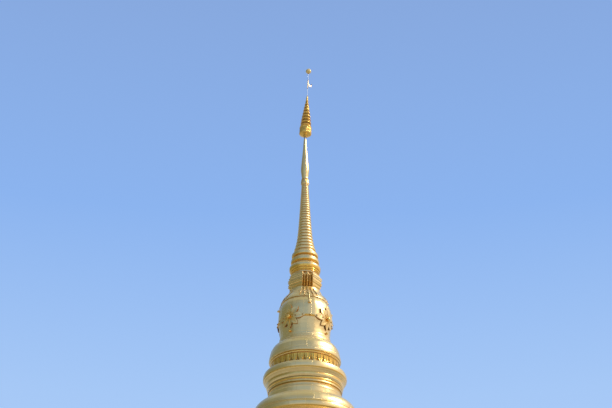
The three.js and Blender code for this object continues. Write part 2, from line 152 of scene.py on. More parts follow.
class StupaStage(bpy.types.PropertyGroup):
    azimuth: angle_setting("Camera azimuth", "Where the camera stands, round from the front", 35.0)
    distance: length_setting("Camera distance", "From the axis, along the ground", 44.35)
    eye: length_setting("Eye height", "Camera above the ground", 1.6)
    pitch: angle_setting("Camera pitch", "How far the camera looks up", 31.7)
    yaw: angle_setting("Camera yaw", "How far the camera looks right of the axis", 0.054)
    lens: amount_setting("Focal length", "In millimetres, for a 36 mm wide sensor", 75.0, 500.0)
    key_azimuth: angle_setting("Key azimuth", "Where the key light stands, round from the front", 118.0)
    key_height: angle_setting("Key height", "Elevation of the key light", 42.0)
    key_power: amount_setting("Key power", "Strength of the key light", 2.0, 20.0)
    horizon: colour_setting("Horizon light", "Studio light at the horizon", (0.56, 0.70, 0.94))
    sky_low: colour_setting("Low light", "Studio light a little above the horizon", (0.381, 0.578, 0.922))
    sky_middle: colour_setting("Middle light", "Studio light a third of the way up", (0.262, 0.456, 0.863))
    sky_high: colour_setting("High light", "Studio light nearly half way up", (0.243, 0.392, 0.730))
    zenith: colour_setting("Zenith light", "Studio light overhead", (0.52, 0.58, 0.48))
    shade: colour_setting("Shade", "Tint of the studio light on the camera's left", (0.19, 0.22, 0.12))
    glow: colour_setting("Glow", "Tint of the studio light on the camera's right", (0.90, 0.90, 0.93))
    floor: colour_setting("Floor", "Colour of the floor", (0.53, 0.55, 0.54))


# Places in the frame

def span(node):
    """Foot height, top height and half width of a CAD node, in metres."""
    low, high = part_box(node)
    return low.z, high.z, high.x


def lean_turn():
    """Rotation from upright to the lean of the finial, and the height of the point it turns about."""
    sizes = bpy.context.scene.stupa_sizes
    axis = (-math.sin(sizes.lean_towards), math.cos(sizes.lean_towards), 0.0)
    return np.array(Matrix.Rotation(sizes.lean, 3, axis)), span("spindle")[1] * OUT


def upright(node):
    """Foot height, top height and radius that a leaning CAD node has before the finial leans, in metres."""
    turn, pivot = lean_turn()
    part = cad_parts[node]
    points = np.empty(3 * len(part.data.vertices))
    part.data.vertices.foreach_get("co", points)
    points = (points.reshape(-1, 3) - pivot) @ turn + pivot
    points[:, 2] -= bpy.context.scene.stupa_sizes.lean_lift
    return points[:, 2].min(), points[:, 2].max(), np.hypot(points[:, 0], points[:, 1]).max()


def leaning(skin):
    """Leans a skin made upright together with the finial."""
    turn, pivot = lean_turn()
    lift = bpy.context.scene.stupa_sizes.lean_lift * OUT
    return skin._replace(points=(skin.points + lift - pivot) @ turn.T + pivot)


# Outlines, as lists of corners (radius, height)

def inset(lip, foot, *corners):
    """Corners given as how far each lies inside a lip and above a foot."""
    return [(lip - inward, foot + up) for inward, up in corners]


def in_shares(wide, foot, rise, *corners):
    """Corners given as each one's share of a width and its share of a rise above a foot."""
    return [(wide * out, foot + rise * up) for out, up in corners]


def mirrored(low, high, *corners):
    """Corners given as a radius and a height above the foot, and the same again down from the top."""
    return [(out, low + up) for out, up in corners] + [(out, high - up) for out, up in reversed(corners)]


def capped(corners):
    """An outline led in to the axis, level with its first corner and, unless it ends there, with its last."""
    end = [] if corners[-1][0] == 0.0 else [(0.0, corners[-1][1])]
    return [(0.0, corners[0][1]), *corners, *end]


def softened(corners, radius, steps=2, most=0.45):
    """Rounds every inner corner C of a path: it leaves the line at most radius before C at A, comes back
    as far after C at B, and between runs the curve (1 - t)^2 A + 2 t (1 - t) C + t^2 B. A and B take at most
    that share of their runs."""
    path = np.asarray(corners, float)
    middle = path[1:-1]
    before, after = path[:-2] - middle, path[2:] - middle
    a, b = (middle + run * np.minimum(radius / np.linalg.norm(run, axis=1, keepdims=True), most)
            for run in (before, after))
    t = np.linspace(0.0, 1.0, steps + 1)[None, :, None]
    curve = (1 - t) ** 2 * a[:, None] + 2 * t * (1 - t) * middle[:, None] + t ** 2 * b[:, None]
    return np.vstack([path[:1], curve.reshape(-1, 2), path[-1:]])


def travelled(path):
    """Distance along a path to each of its points."""
    return np.concatenate([[0.0], np.cumsum(np.linalg.norm(np.diff(path, axis=0), axis=1))])


def evened(path, pitch, flat_ends=True):
    """Adds points along a path so that none lie further apart than pitch, and keeps its own points. The
    first and last runs of a path with flat ends stay whole."""
    inner = path[1:-1] if flat_ends else path
    along = travelled(inner)
    places = np.union1d(along, np.linspace(0.0, along[-1], int(along[-1] / pitch) + 2))
    inner = np.stack([np.interp(places, along, column) for column in inner.T], axis=1)
    return np.vstack([path[:1], inner, path[-1:]]) if flat_ends else inner


# Skins over grids of points

def shell(grid, around, along, recess=0.0, polish=0.0, closed=False):
    """Skin over a grid of points whose columns run round. The rows run along it, and either join on
    themselves or begin and end in a single point. around counts sheets in a turn, along gives sheets per
    row."""
    inner = grid if closed else grid[1:-1]
    rows, columns = inner.shape[:2]
    points = inner.reshape(-1, 3)
    index = np.arange(rows * columns).reshape(rows, columns)
    v = along[1:-1]
    if closed:
        index = np.vstack([index, index[:1]])
        v = np.append(along, 2 * along[-1] - along[-2])
    beside = np.roll(index, -1, axis=1)
    recess, polish = (np.broadcast_to(value, grid.shape[:2]) for value in (recess, polish))
    u = np.arange(columns) * around / columns
    u_beside = u + around / columns
    quads = np.stack([index[:-1], beside[:-1], beside[1:], index[1:]], axis=-1).reshape(-1, 4)
    faces = len(index) - 1, columns
    quad_u = np.stack([np.broadcast_to(x, faces) for x in (u, u_beside, u_beside, u)], axis=-1)
    quad_v = np.stack([np.broadcast_to(x[:, None], faces) for x in (v[:-1], v[:-1], v[1:], v[1:])], axis=-1)
    quad_uv = np.stack([quad_u, quad_v], axis=-1).reshape(-1, 4, 2)
    if closed:
        return Skin(points, np.zeros((0, 3), int), quads, np.zeros((0, 3, 2)), quad_uv,
                    recess.reshape(-1), polish.reshape(-1))
    foot, top = rows * columns, rows * columns + 1
    foot_fan = np.stack([np.full(columns, foot), beside[0], index[0]], axis=-1)
    top_fan = np.stack([np.full(columns, top), index[-1], beside[-1]], axis=-1)
    middle = 0.5 * (u + u_beside)
    foot_v, top_v = (np.broadcast_to(ends, (columns, 3)) for ends in (along[[0, 1, 1]], along[[-1, -2, -2]]))
    foot_uv = np.stack([np.stack([middle, u_beside, u], axis=-1), foot_v], axis=-1)
    top_uv = np.stack([np.stack([middle, u, u_beside], axis=-1), top_v], axis=-1)
    recess, polish = (np.concatenate([value[1:-1].reshape(-1), value[0, :1], value[-1, :1]])
                      for value in (recess, polish))
    return Skin(np.vstack([points, grid[0, 0], grid[-1, 0]]), np.vstack([foot_fan, top_fan]), quads,
                np.vstack([foot_uv, top_uv]), quad_uv, recess, polish)


def joined(skins):
    """Several skins as one."""
    start = np.cumsum([0] + [len(skin.points) for skin in skins[:-1]])
    moved = [skin._replace(triangles=skin.triangles + first, quads=skin.quads + first)
             for skin, first in zip(skins, start)]
    return Skin(*(np.concatenate(values) for values in zip(*moved)))


def recess_of(reach, along, width=0.09, depth=0.03):
    """How deep each point lies in a groove, 0 to 1: the mean reach of its neighbours up and down, weighed by
    a bell curve of that width, less its own reach, over depth."""
    gap = (along[:, None] - along[None, :]) / width
    weight = np.exp(-gap ** 2) * np.minimum(np.gradient(along), width)[None, :]
    weight /= weight.sum(axis=1, keepdims=True)
    return np.clip((weight @ reach - reach) / depth, 0.0, 1.0)


def painted_underside_shade(slope, weight=0.12):
    """Painted shade on the faces that look down, from how fast the path runs outwards: clip(1.6 slope - 0.3).
    """
    return weight * np.clip(1.6 * slope - 0.3, 0.0, 1.0)


def lines(places, width, down):
    """Fine lines, used for painted shade in grooves and for polish: at each place (where, how strong) a bell
    curve of that width times its strength, and the strongest of them at each point."""
    return np.max([most * np.exp(-((down - at) / width) ** 2) for at, most in places], axis=0)


def value_at(value, *place):
    """A plain value, or what a function of the place gives, spread over the whole grid."""
    grid = np.broadcast_shapes(*(np.shape(axis) for axis in place))
    return np.broadcast_to(value(*place) if callable(value) else value, grid)


def turned(corners, columns, radius=0.01, pitch=0.05, relief=0.0, sheets=None, polish=0.0, dust_and_shade=0.0,
           underside_shade_weight=0.12, groove_shade_weight=1.0, closed=False):
    """Surface of revolution: the point at angle a and place s is (r sin a, -r cos a, z) for the path's r and
    z at s, moved out along the path's normal by relief(a, z). Sheets are (width, height) in metres. Relief,
    polish and the dust mixed with painted shade are each a value or a function of the angle and the height.
    The underside and groove weights set the painted shade on the faces that look down and in the grooves. A
    closed outline goes back to its first corner, and any other is led in to the axis."""
    sizes = bpy.context.scene.stupa_sizes
    if closed:
        path = evened(softened([*corners, corners[0]], radius), pitch, flat_ends=False)[:-1]
    else:
        path = evened(softened(capped(corners), radius), pitch)
    along = travelled(path)
    angle = (np.arange(columns) * TURN / columns)[None, :]
    r, z = path[:, :1], path[:, 1:]
    lift = value_at(relief, angle, z) * (r > 0)
    slope = np.gradient(path, along, axis=0)
    slope /= np.maximum(np.linalg.norm(slope, axis=1, keepdims=True), 1e-9)
    reach = r + lift * slope[:, 1:]
    grid = np.stack([reach * np.sin(angle), -reach * np.cos(angle), z - lift * slope[:, :1]], axis=-1)
    width, tall = sheets or (sizes.sheet_width, sizes.sheet_height)
    around = max(4, round(TURN * path[:, 0].max() / width))
    # Painted shade in the grooves and under the ledges, and the piece's own dust and painted shade
    groove = np.maximum(groove_shade_weight * recess_of(reach, along), painted_underside_shade(slope[:, :1], underside_shade_weight))
    groove = np.maximum(groove, value_at(dust_and_shade, angle, z))
    return shell(grid, around, along / tall, groove, value_at(polish, angle, z), closed)


def redented_corners():
    """The 20 corners of a redented square, counted against the clock from the +X side. For x and for y,
    each holds a number of half widths and a number of steps."""
    side = [[[1, 0], [1, -2]], [[1, -1], [1, -2]], [[1, -1], [1, -1]], [[1, -2], [1, -1]], [[1, -2], [1, 0]]]
    quarters = [np.array(side, float)]
    for _ in range(3):
        last = quarters[-1]
        quarters.append(np.stack([-last[:, 1], last[:, 0]], axis=1))
    return np.concatenate(quarters)


def redented(corners, step, columns_per_bay, bay, radius=0.02, pitch=0.08, relief=0.0, dust_and_shade=0.0, polish=0.0,
             sheets=BASE_SHEET):
    """Surface with a redented square plan: every corner lies at half widths H plus steps, and the points
    between two corners run straight. H follows the path, plus relief(bay count along the side, the side's
    bays, z), which moves the sides out square to themselves and keeps the corners sharp. The dust mixed with
    painted shade, and polish, are values or functions of the same three."""
    path = evened(softened(capped(corners), radius), pitch)
    along = travelled(path)
    plan = redented_corners()
    ahead = np.roll(plan, -1, axis=0)
    lengths = np.abs((ahead - plan) @ np.array([path[:, 0].max(), step])).sum(axis=1)
    bays = np.maximum(1, np.round(lengths / bay)).astype(int)
    columns = bays * columns_per_bay
    corner = np.repeat(np.arange(len(plan)), columns)
    place = np.concatenate([np.arange(n) / n for n in columns])
    share = place[:, None, None]
    mix = plan[corner] * (1 - share) + ahead[corner] * share
    h, z = path[:, :1], path[:, 1:]
    where = (place * bays[corner])[None, :], bays[corner][None, :], z
    reach = h + value_at(relief, *where) * (h > 0)
    x, y = (mix[:, axis, 0] * reach + mix[:, axis, 1] * step for axis in (0, 1))
    solid = h > 0
    grid = np.stack([x * solid, y * solid, z + 0.0 * x], axis=-1)
    width, tall = sheets
    around = max(4, round(lengths.sum() / width))
    slope = np.gradient(h[:, 0], along)[:, None]
    # Painted shade in the grooves and under the ledges
    groove = np.maximum(recess_of(reach, along, width=0.16, depth=0.05), painted_underside_shade(slope))
    groove = np.maximum(groove, value_at(dust_and_shade, *where))
    return shell(grid, around, along / tall, groove, value_at(polish, *where))


# Ornaments

def leaf(root, tip, width, thickness, curl, lift=0.0, sections=14, ring=12, power=0.8, cup=0.9, polish=0.0,
         dust_and_shade=0.0):
    """Pointed leaf from root to tip in a flat frame (right, up, out), lifted out. At share t along, its half
    width is half the width times sin(pi t^power), its half thickness follows the same curve to the power a
    half, its middle rises by curl times t^2, and its sides by cup times their reach^2 over the width."""
    root, tip = (np.asarray(end, float) + lift * OUT for end in (root, tip))
    t = np.linspace(0.0, 1.0, sections)[:, None]
    turn = (np.arange(ring) * TURN / ring)[None, :]
    axis = (tip - root) / np.linalg.norm(tip - root)
    swell = np.sin(np.pi * t ** power)
    swell[[0, -1]] = 0.0
    side = 0.5 * width * swell * np.cos(turn)
    rise = 0.5 * thickness * np.sqrt(swell) * np.sin(turn) + curl * t ** 2 + cup * side ** 2 / width
    middle = root + (tip - root) * t
    grid = middle[:, None, :] + side[..., None] * np.cross(OUT, axis) + rise[..., None] * OUT
    return shell(grid, 1, t[:, 0], recess=dust_and_shade, polish=polish)


def drop(centre, radius, stretch=1.0, rows=8, columns=12, polish=1.0, dust_and_shade=0.0):
    """Ball or drop round a centre: r = radius sin b and height = stretch radius cos b."""
    b = np.linspace(np.pi, 0.0, rows)[:, None]
    a = (np.arange(columns) * TURN / columns)[None, :]
    ring = radius * np.sin(b)
    ring[[0, -1]] = 0.0
    grid = np.stack([ring * np.sin(a), -ring * np.cos(a), radius * stretch * np.cos(b) + 0.0 * a], axis=-1)
    return shell(grid + np.asarray(centre), 1, np.linspace(0.0, 1.0, rows), recess=dust_and_shade, polish=polish)


def strung(skin, wall, number, height, start=0.0):
    """Skins made from one in a flat frame (right, up, out), laid round the stupa evenly: out adds to the
    wall's radius at that height, and right over the wall's radius at the middle height becomes an angle."""
    radii, heights = np.asarray(wall, float).T
    right, up, out = skin.points.T
    z = height + up
    radius = np.interp(z, heights, radii) + out
    laid = []
    for i in range(number):
        angle = TURN * (i + start) / number + right / np.interp(height, heights, radii)
        points = np.stack([radius * np.sin(angle), -radius * np.cos(angle), z], axis=-1)
        laid.append(skin._replace(points=points))
    return laid


def petals(across, along):
    """Relief 0 to 1 of a row of lotus petals. across counts petals and along runs from root 0 to tip 1. A
    petal is half a petal times (1 - along^2.6)^0.6 wide at each side, rises over a rounded edge and has a
    raised rim and a rib, and the tips of the petals behind show between them at just over half the height."""
    def row(shift, reach):
        side = np.abs((across + shift) % 1.0 - 0.5)
        t = np.clip(along / reach, 0.0, 1.0)
        inside = 0.49 * (1 - t ** 2.6) ** 0.6 - side
        body = np.sqrt(np.clip(inside / 0.12, 0.0, 1.0))
        rim = np.exp(-((inside - 0.06) / 0.035) ** 2)
        rib = np.exp(-(side / 0.05) ** 2) * (1 - t)
        return np.where(inside > 0, 0.7 * body + 0.3 * np.maximum(rim, rib), 0.0)
    return np.maximum(row(0.0, 1.0), 0.55 * row(0.5, 0.88))


# Materials

def add_node(tree, kind, inputs=None, **settings):
    """Adds a shader node. inputs maps a socket to a value or to another node's output."""
    item = tree.nodes.new(kind)
    for name, value in settings.items():
        setattr(item, name, value)
    for socket, value in (inputs or {}).items():
        if isinstance(value, bpy.types.NodeSocket):
            tree.links.new(value, item.inputs[socket])
        else:
            item.inputs[socket].default_value = value
    return item


def blended(tree, share, first, second):
    """Colour mixed from first to second by share."""
    return add_node(tree, "ShaderNodeMix", {0: share, 6: first, 7: second}, data_type="RGBA").outputs[2]


def scaled(tree, value, low, high, start=0.0, full=1.0, **settings):
    """A value from start to full, carried to the range low to high."""
    inputs = {"Value": value, "From Min": start, "From Max": full, "To Min": low, "To Max": high}
    return add_node(tree, "ShaderNodeMapRange", inputs, **settings).outputs["Result"]


def combined(tree, kind, first, second):
    """Two values multiplied or compared."""
    return add_node(tree, "ShaderNodeMath", {0: first, 1: second}, operation=kind).outputs[0]


def weighed(tree, start, *parts):
    """A starting value, plus each value of the parts times its weight."""
    for value, weight in parts:
        inputs = {0: value, 1: weight, 2: start}
        start = add_node(tree, "ShaderNodeMath", inputs, operation="MULTIPLY_ADD").outputs[0]
    return start


def noise(tree, place, scale, detail):
    """Cloudy noise, 0 to 1."""
    inputs = {"Vector": place, "Scale": scale, "Detail": detail}
    return add_node(tree, "ShaderNodeTexNoise", inputs).outputs["Fac"]


def new_material(name):
    """An empty material, its node tree and its shader."""
    material = bpy.data.materials.new(name)
    material.use_nodes = True
    return material, material.node_tree, material.node_tree.nodes["Principled BSDF"]


def gilding(name, finish):
    """Gilt sheet with a tone for each sheet, seams, dents, rain streaks, dust, painted shade and an orange
    painted reflection in its grooves and under its ledges, and pale weathering with painted light on faces
    that look up, which turns to polished gilt where the skin's polish value says so."""
    material, tree, shader = new_material(name)
    place = add_node(tree, "ShaderNodeTexCoord").outputs["Object"]
    sheet = add_node(tree, "ShaderNodeUVMap", uv_map="sheet").outputs["UV"]
    recess = add_node(tree, "ShaderNodeAttribute", attribute_name="recess").outputs["Fac"]
    polish = add_node(tree, "ShaderNodeAttribute", attribute_name="polish").outputs["Fac"]
    seams = add_node(tree, "ShaderNodeTexBrick", {
        "Vector": sheet, "Color1": (0, 0, 0, 1), "Color2": (1, 1, 1, 1), "Mortar": (0.5, 0.5, 0.5, 1),
        "Scale": 1.0, "Mortar Size": 0.008, "Mortar Smooth": 0.6, "Brick Width": 1.0, "Row Height": 1.0})
    tone, seam = seams.outputs["Color"], seams.outputs["Fac"]
    stretched = add_node(tree, "ShaderNodeMapping", {"Vector": place, "Scale": (5.0, 5.0, 0.35)})
    cloud = noise(tree, place, scale=0.9, detail=4.0)
    streak = noise(tree, stretched.outputs["Vector"], scale=1.0, detail=5.0)
    grain = noise(tree, place, scale=14.0, detail=6.0)
    dents = noise(tree, place, scale=2.2, detail=2.0)

    # Dust and painted shade from the skin, broken up by grain, and dark seams
    dust_and_shade = combined(tree, "MULTIPLY", recess, scaled(tree, grain, 0.5, 1.0))
    dust_and_shade = combined(tree, "MAXIMUM", dust_and_shade, combined(tree, "MULTIPLY", seam, 0.3))
    # Faces that look up turn pale: weathering, and painted light on top faces
    facing = add_node(tree, "ShaderNodeNewGeometry").outputs["Normal"]
    upward = add_node(tree, "ShaderNodeSeparateXYZ", {"Vector": facing}).outputs["Z"]
    top_light_and_weather = scaled(tree, upward, 0.0, 0.7, start=0.35, full=0.8)

    patina = weighed(tree, 0.0, (tone, 0.4), (cloud, 0.35), (streak, 0.35))
    gilt = blended(tree, patina, (*finish.gilt_low, 1), (*finish.gilt_high, 1))
    gilt = blended(tree, polish, gilt, (*finish.polished, 1))
    # Orange painted reflection in shallow grooves, dark painted shade and grime in the deepest
    gilt = blended(tree, scaled(tree, dust_and_shade, 0.0, 0.9, full=0.55), gilt, (*finish.recess, 1))
    gilt = blended(tree, scaled(tree, dust_and_shade, 0.0, 0.85, start=0.5), gilt, (*finish.deep_shade_and_grime, 1))
    gilt = blended(tree, top_light_and_weather, gilt, (*finish.weathered_and_top_light, 1))
    metal = combined(tree, "MULTIPLY", scaled(tree, dust_and_shade, 1.0, 0.6), scaled(tree, top_light_and_weather, 1.0, 0.4))
    smoothest = finish.sheet_roughness - 0.1
    satin = weighed(tree, smoothest, (streak, 0.14), (tone, 0.05), (dust_and_shade, 0.25))
    relief = weighed(tree, 0.0, (dents, 1.0), (seam, -0.4), (grain, 0.05))
    bump = add_node(tree, "ShaderNodeBump", {
        "Height": relief, "Strength": 0.35, "Distance": 4.0 * finish.dents})
    tree.links.new(gilt, shader.inputs["Base Color"])
    tree.links.new(metal, shader.inputs["Metallic"])
    tree.links.new(scaled(tree, polish, satin, finish.polished_roughness), shader.inputs["Roughness"])
    tree.links.new(bump.outputs["Normal"], shader.inputs["Normal"])
    return material


def steel(name, finish):
    """Bare drawn steel."""
    material, _, shader = new_material(name)
    shader.inputs["Base Color"].default_value = (*finish.steel, 1.0)
    shader.inputs["Metallic"].default_value = 1.0
    shader.inputs["Roughness"].default_value = 0.3
    return material


def finish_for(slot):
    """The finish of a material slot, made once."""
    if slot not in FINISHES:
        make = steel if slot == "mast_steel" else gilding
        FINISHES[slot] = make(slot, bpy.context.scene.stupa_finish)
    return FINISHES[slot]


def piece(node, skin, name=None, slot="gilt_sheet", body="stupa"):
    """Makes a skin an object that rides on a body and stands for a CAD node."""
    name = name or f"{node}_skin"
    mesh = bpy.data.meshes.new(name)
    triangles, quads = len(skin.triangles), len(skin.quads)
    corners = np.concatenate([skin.triangles.ravel(), skin.quads.ravel()])
    starts = np.concatenate([3 * np.arange(triangles), 3 * triangles + 4 * np.arange(quads)])
    mesh.vertices.add(len(skin.points))
    mesh.vertices.foreach_set("co", skin.points.astype(np.float32).ravel())
    mesh.loops.add(len(corners))
    mesh.loops.foreach_set("vertex_index", corners.astype(np.int32))
    mesh.polygons.add(triangles + quads)
    mesh.polygons.foreach_set("loop_start", starts.astype(np.int32))
    uv = np.concatenate([skin.triangle_uv.reshape(-1, 2), skin.quad_uv.reshape(-1, 2)])
    mesh.uv_layers.new(name="sheet").uv.foreach_set("vector", uv.astype(np.float32).ravel())
    for value in ("recess", "polish"):
        attribute = mesh.attributes.new(value, "FLOAT", "POINT")
        attribute.data.foreach_set("value", getattr(skin, value).astype(np.float32))
    mesh.update(calc_edges=True)
    mesh.shade_smooth()
    mesh.set_sharp_from_angle(angle=CREASE)
    mesh.materials.append(finish_for(slot))
    made = bpy.data.objects.new(name, mesh)
    bpy.context.scene.collection.objects.link(made)
    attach(made, body)
    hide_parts(node)


# Square base

class STUPA_OT_plinths(bpy.types.Operator):
    """Three plain plinths with stepped top edges"""
    bl_idname = "stupa.plinths"
    bl_label = "Plinths"

    def execute(self, context):
        edge = 0.13
        for node in ("plinth_lower", "plinth_middle", "plinth_upper"):
            foot, top, half = span(node)
            corners = inset(half, foot, (0.0, 0.0), (0.0, 0.22), (0.03, 0.25))
            corners += inset(
                half, top, (0.03, -3.4 * edge), (0.0, -3.2 * edge), (0.0, -2.9 * edge), (edge, -2 * edge),
                (edge, -edge), (0.4 * edge, -edge), (0.4 * edge, 0.0))
            skin = redented(corners, PLINTH_STEP, columns_per_bay=2, bay=1.2, pitch=0.2, sheets=(1.2, 0.55))
            piece(node, skin)
        return {"FINISHED"}


def lotus_tier(corners, low, high):
    """Redented skin with a row of petals from low to high. They stand out by the petal relief, more so
    towards their tips, and fade in over a soft edge."""
    sizes = bpy.context.scene.stupa_sizes
    soft_edge = 0.03

    def height(z):
        return np.clip((z - low) / (high - low), 0.0, 1.0)

    def relief(count, sides, z):
        fade = np.clip(np.minimum(z - low, high - z) / soft_edge, 0.0, 1.0)
        return sizes.petal_relief * petals(count, height(z)) * fade * (0.55 + 0.45 * height(z))

    # Painted shade between the petals
    def dust_and_shade(count, sides, z):
        return 0.9 * (1.0 - petals(count, height(z))) * (z > low) * (z < high)
    return redented(corners, BASE_STEP, columns_per_bay=8, bay=sizes.base_petal, radius=0.025, pitch=0.15,
                    relief=relief, dust_and_shade=dust_and_shade)


def panel_relief(count, sides, z, low, high, depth=0.05):
    """Sunk panels between pilasters: each bay is sunk by depth inside a margin, with a soft edge, and holds
    a raised lozenge, depth times one less the sum of its shares across and up."""
    across = np.abs(count % 1.0 - 0.5) * 2.0
    up = np.abs((z - low) / (high - low) - 0.5) * 2.0
    inside = np.clip((0.78 - across) / 0.06, 0.0, 1.0) * np.clip((0.84 - up) / 0.06, 0.0, 1.0)
    lozenge = np.clip(1.0 - across / 0.6 - up / 0.66, 0.0, 0.35) / 0.35
    return (sides > 1) * depth * inside * (1.4 * lozenge - 1.0)


class STUPA_OT_base(bpy.types.Operator):
    """Three redented tiers, each a lotus foot, a waist with sunk panels and a lotus cornice"""
    bl_idname = "stupa.base"
    bl_label = "Redented base"

    def execute(self, context):
        for tier in ("base_lower", "base_body", "base_upper"):
            foot, foot_top, half = span(f"{tier}_foot")
            waist_foot, waist_top, band = span(f"{tier}_waist")
            cornice_foot, top, edge = span(f"{tier}_cornice")

            # The band round the waist stands proud by a quarter of the waist's depth
            depth = (half - band) / 0.75
            waist = half - depth
            rise = top - foot

            shelf = 0.12 * rise
            corners = inset(
                half, foot, (0.0, 0.0), (0.0, 0.05 * rise), (0.05, 0.06 * rise), (0.05, 0.1 * rise),
                (0.02, shelf), (0.25 * depth, 0.14 * rise), (0.45 * depth, 0.2 * rise),
                (0.85 * depth, 0.26 * rise), (depth - 0.05, 0.27 * rise), (depth - 0.05, 0.285 * rise),
                (depth, foot_top - foot))
            skin = lotus_tier(corners, foot + shelf + 0.1 * (foot_top - foot), foot + 0.265 * rise)
            piece(f"{tier}_foot", skin, name=f"{tier}_lotus_foot")

            middle = 0.5 * (waist_foot + waist_top)
            belt = 0.035 * rise
            corners = inset(
                band, middle, (0.0, -0.9 * belt), (0.0, -0.35 * belt), (0.04, 0.0), (0.0, 0.35 * belt),
                (0.0, 0.9 * belt))
            corners = [(waist, waist_foot), (waist, middle - belt), *corners, (waist, middle + belt),
                       (waist, waist_top)]

            def relief(count, sides, z):
                lower = panel_relief(count, sides, z, waist_foot, middle - belt)
                return np.where(z < middle, lower, panel_relief(count, sides, z, middle + belt, waist_top))
            skin = redented(corners, BASE_STEP, columns_per_bay=16, bay=1.7, pitch=0.15, relief=relief)
            piece(f"{tier}_waist", skin, name=f"{tier}_panelled_waist")

            corners = inset(waist, cornice_foot, (0.0, 0.0), (-0.05, 0.012 * rise), (-0.05, 0.022 * rise))
            corners += inset(half, foot, (0.85 * depth, 0.73 * rise), (0.4 * depth, 0.8 * rise),
                             (0.2 * depth, 0.86 * rise))
            corners += inset(edge, foot, (0.04, 0.87 * rise), (0.04, 0.885 * rise), (0.0, 0.89 * rise),
                             (0.0, 0.955 * rise), (0.04, 0.965 * rise), (0.04, rise))
            skin = lotus_tier(corners, cornice_foot + 0.03 * rise, foot + 0.865 * rise)
            piece(f"{tier}_cornice", skin, name=f"{tier}_lotus_cornice")
        return {"FINISHED"}


# Round mouldings, lotus moulding and bell

class STUPA_OT_mouldings(bpy.types.Operator):
    """Three round mouldings: a drum on a fillet, two small rings, a rolled lip and a curved shoulder"""
    bl_idname = "stupa.mouldings"
    bl_label = "Round mouldings"

    def execute(self, context):
        # Shares of the way from the drum to the lip, and units above the foot or below the lip
        fillet = ((0.2, 0.0), (0.21, 1.1), (0.24, 1.16), (0.24, 1.3), (0.18, 1.4), (0.03, 1.46), (0.0, 1.56))
        rolls = (
            (0.0, 3.85), (0.19, 3.74), (0.22, 3.62), (0.22, 3.3), (0.17, 3.22), (0.18, 3.16), (0.3, 3.08),
            (0.32, 3.0), (0.32, 2.82), (0.27, 2.74), (0.26, 2.64), (0.46, 2.3), (0.49, 2.2), (0.49, 1.85),
            (0.47, 1.75), (0.5, 1.66), (0.74, 1.3), (0.79, 1.18), (0.91, 1.04), (0.98, 0.85), (1.0, 0.6),
            (1.0, 0.3), (0.985, 0.1), (0.95, 0.02))

        # Lines of painted shade in the grooves and of polish, as units below the lip and how strong each is
        groove_shade_lines = ((0.03, 0.8), (0.92, 0.7), (1.3, 0.4), (1.75, 0.5), (2.68, 1.5), (3.2, 0.4), (3.7, 1.5))
        gold = ((0.03, 1.2), (0.92, 0.9), (1.98, 1.0), (2.98, 1.2), (3.65, 1.0))

        # Radius of the drum, radius of the neck above the shoulder and height of the lip. The upper one has
        # no line right under its lip.
        mouldings = {
            "moulding_lower": (1.96, 1.5, 17.3), "moulding_middle": (1.5, 1.375, 19.6),
            "moulding_upper": (1.34, 1.315, 21.25)}
        unit_share = 0.117
        for node, (drum, neck, lip_top) in mouldings.items():
            foot, top, lip = span(node)
            over = lip - drum
            unit = unit_share * lip
            first = 1 if node == "moulding_upper" else 0
            corners = [(drum + over * out, foot + unit * up) for out, up in fillet]
            corners += [(drum + over * out, lip_top - unit * down) for out, down in rolls]

            # The shoulder is most of a quarter of an ellipse, from inside the lip up to the neck
            angle = np.linspace(1.0, 0.14, 9) * RIGHT_ANGLE
            shoulder = neck + (lip - 0.07 * over - neck) * np.sin(angle)
            height = top - (top - lip_top - 0.03 * unit) * (1.0 - np.cos(angle))
            corners += [*zip(shoulder, height), (neck, top)]
            skin = turned(
                corners, columns=144, radius=0.012, pitch=0.03, underside_shade_weight=0.04, groove_shade_weight=0.15,
                dust_and_shade=lambda angle, z: lines(groove_shade_lines[first:], 0.08, (lip_top - z) / unit),
                polish=lambda angle, z: np.minimum(lines(gold[first:], 0.13, (lip_top - z) / unit), 1.0))
            piece(node, skin)
        return {"FINISHED"}


